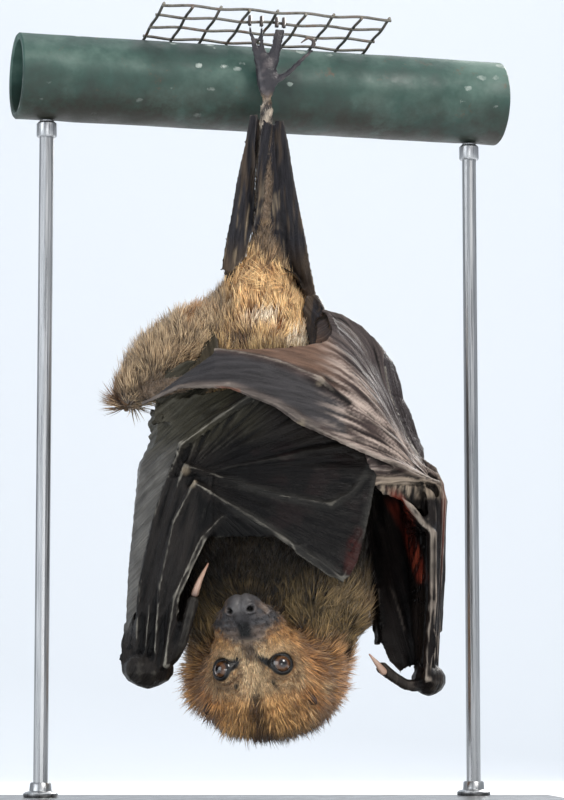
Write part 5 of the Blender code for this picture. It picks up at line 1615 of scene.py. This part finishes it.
def eye_finish():
    material, tree, shader = finish("bat_eye", Roughness=0.22, Coat_Weight=1.0, Coat_Roughness=0.03,
                                    IOR=1.38)
    share = rescale(tree, attribute(tree, "off_axis", "Fac"), 0.0, 90.0)
    base = ramp(tree, share, (0.0, srgb(12, 8, 7)), (0.15, srgb(16, 10, 8)), (0.185, srgb(50, 31, 21)),
                (0.30, srgb(88, 60, 39)), (0.40, srgb(72, 50, 34)), (0.46, srgb(26, 18, 14)),
                (0.52, srgb(18, 14, 13)), (1.0, srgb(30, 22, 20)))
    rays = step(tree, "ShaderNodeMapping", {"Vector": attribute(tree, "around_axis", "Vector"),
                                            "Scale": (9.0, 9.0, 2.5)}).outputs["Vector"]
    base = mix(tree, 0.6, base, ramp(tree, grain(tree, rays, 1.0, 4.0), (0.3, 0.3), (0.7, 0.75)), "OVERLAY")
    feed(tree, shader, Base_Color=base)
    return material


eye_material = eye_finish()
for side in ("left", "right"):
    ball = eye(side)
    ball.materials.append(eye_material)
    piece("eyeball_" + side, ball, "eye_surface", "eye_" + side)

# ---------------------------------------------------------------- ears
# Small rounded ears of thin dark skin, cupped towards the front. They are set so deep that the fur of the
# crown hides all but their rims.

EAR_VOXEL = 0.36 * MM
EAR_CUP = 2.2
EAR_SHRINK = 0.25
EAR_SUNK = 7.4
EAR_WAY = {"left": (-0.55, -0.80, 0.2), "right": (0.40, -0.88, 0.2)}


def ear_finish():
    material, tree, shader = finish("ear_skin", Roughness=0.6, Specular_IOR_Level=0.35)
    place = object_place(tree)
    mottle = grain(tree, place, 330.0, 5.0)
    colour = ramp(tree, mottle, (0.3, srgb(48, 38, 34)), (0.55, srgb(72, 56, 48)), (0.75, srgb(96, 72, 58)))
    feed(tree, shader, Base_Color=colour)
    bump(tree, shader, grain(tree, place, 900.0, 4.0), 0.00015, 0.7)
    return material


ear_material = ear_finish()
for side in ("left", "right"):
    shell = remeshed(joined(["ear_" + side]), EAR_VOXEL, 6)
    spots = points_of(shell)
    cup_way = np.array(Vector(EAR_WAY[side]).normalized())
    middle = spots.mean(axis=0)
    across = spots - middle - np.outer((spots - middle) @ cup_way, cup_way)
    reach = np.linalg.norm(across, axis=1) / (np.linalg.norm(across, axis=1).max() * 0.8)
    facing = soft(normals_of(shell) @ cup_way, 0.1, 0.5)
    spots -= np.outer(facing * EAR_CUP * np.clip(1 - reach ** 2, 0.0, 1.0), cup_way)
    spots -= (spots - middle) * EAR_SHRINK
    inward = np.array(eye_middle) - middle
    spots += inward / np.linalg.norm(inward) * EAR_SUNK
    set_points(shell, blurred(spots, neighbours_of(shell), 2))
    shell.shade_smooth()
    shell.materials.append(ear_material)
    piece("ear_shell_" + side, shell, "bare_skin", "ear_" + side)

# ---------------------------------------------------------------- claws
# Curved claws of horn, finely lined from root to point: dark and strong on the gripping toes, which hook
# over the netting's wire, and pale and pinkish on the thumbs.

CLAW_VOXEL = 0.24 * MM
CLAW_SWELL = 0.06 * MM


def horn(name, root, body, point):
    """Horn darker or paler from its root to its point, with fine lengthwise lines."""
    material, tree, shader = finish(name, Roughness=0.34, Coat_Weight=0.25, Coat_Roughness=0.2)
    along = attribute(tree, "along", "Fac")
    colour = ramp(tree, along, (0.0, root), (0.25, body), (0.7, body), (1.0, point))
    streaks = grain(tree, object_place(tree, (900.0, 900.0, 120.0)), 1.0, 4.0)
    colour = mix(tree, 0.4, colour, ramp(tree, streaks, (0.3, 0.34), (0.7, 0.66)), "OVERLAY")
    feed(tree, shader, Base_Color=colour)
    bump(tree, shader, streaks, 0.0001, 0.5)
    return material


pale_horn = horn("pale_horn", srgb(74, 56, 48), srgb(160, 130, 112), srgb(146, 108, 90))
dark_horn = horn("dark_horn", srgb(44, 38, 36), srgb(62, 54, 50), srgb(110, 92, 78))
CLAWS = [("toe_claw_%d_right" % k, "foot_right", dark_horn, "dark_claw") for k in (1, 2, 3, 4, 5)]
CLAWS += [("thumb_claw_" + s, "thumb_" + s, pale_horn, "claw_horn") for s in ("left", "right")]
for name, held_by, material, slot_name in CLAWS:
    claw = remeshed(joined([name], CLAW_SWELL), CLAW_VOXEL, 4)
    run = distance_to(held_by, points_of(claw))
    run = (run - run.min()) / max(run.max() - run.min(), 1e-6)
    keep(claw, "along", run)
    claw.shade_smooth()
    claw.materials.append(material)
    piece(name + "_horn", claw, slot_name, name)

# ---------------------------------------------------------------- size
# The box round the CAD solids and the box round the dressed bat, kept side by side.

size = {"cad": [list(corner) for corner in cad_box], "visual": [list(corner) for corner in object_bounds()]}
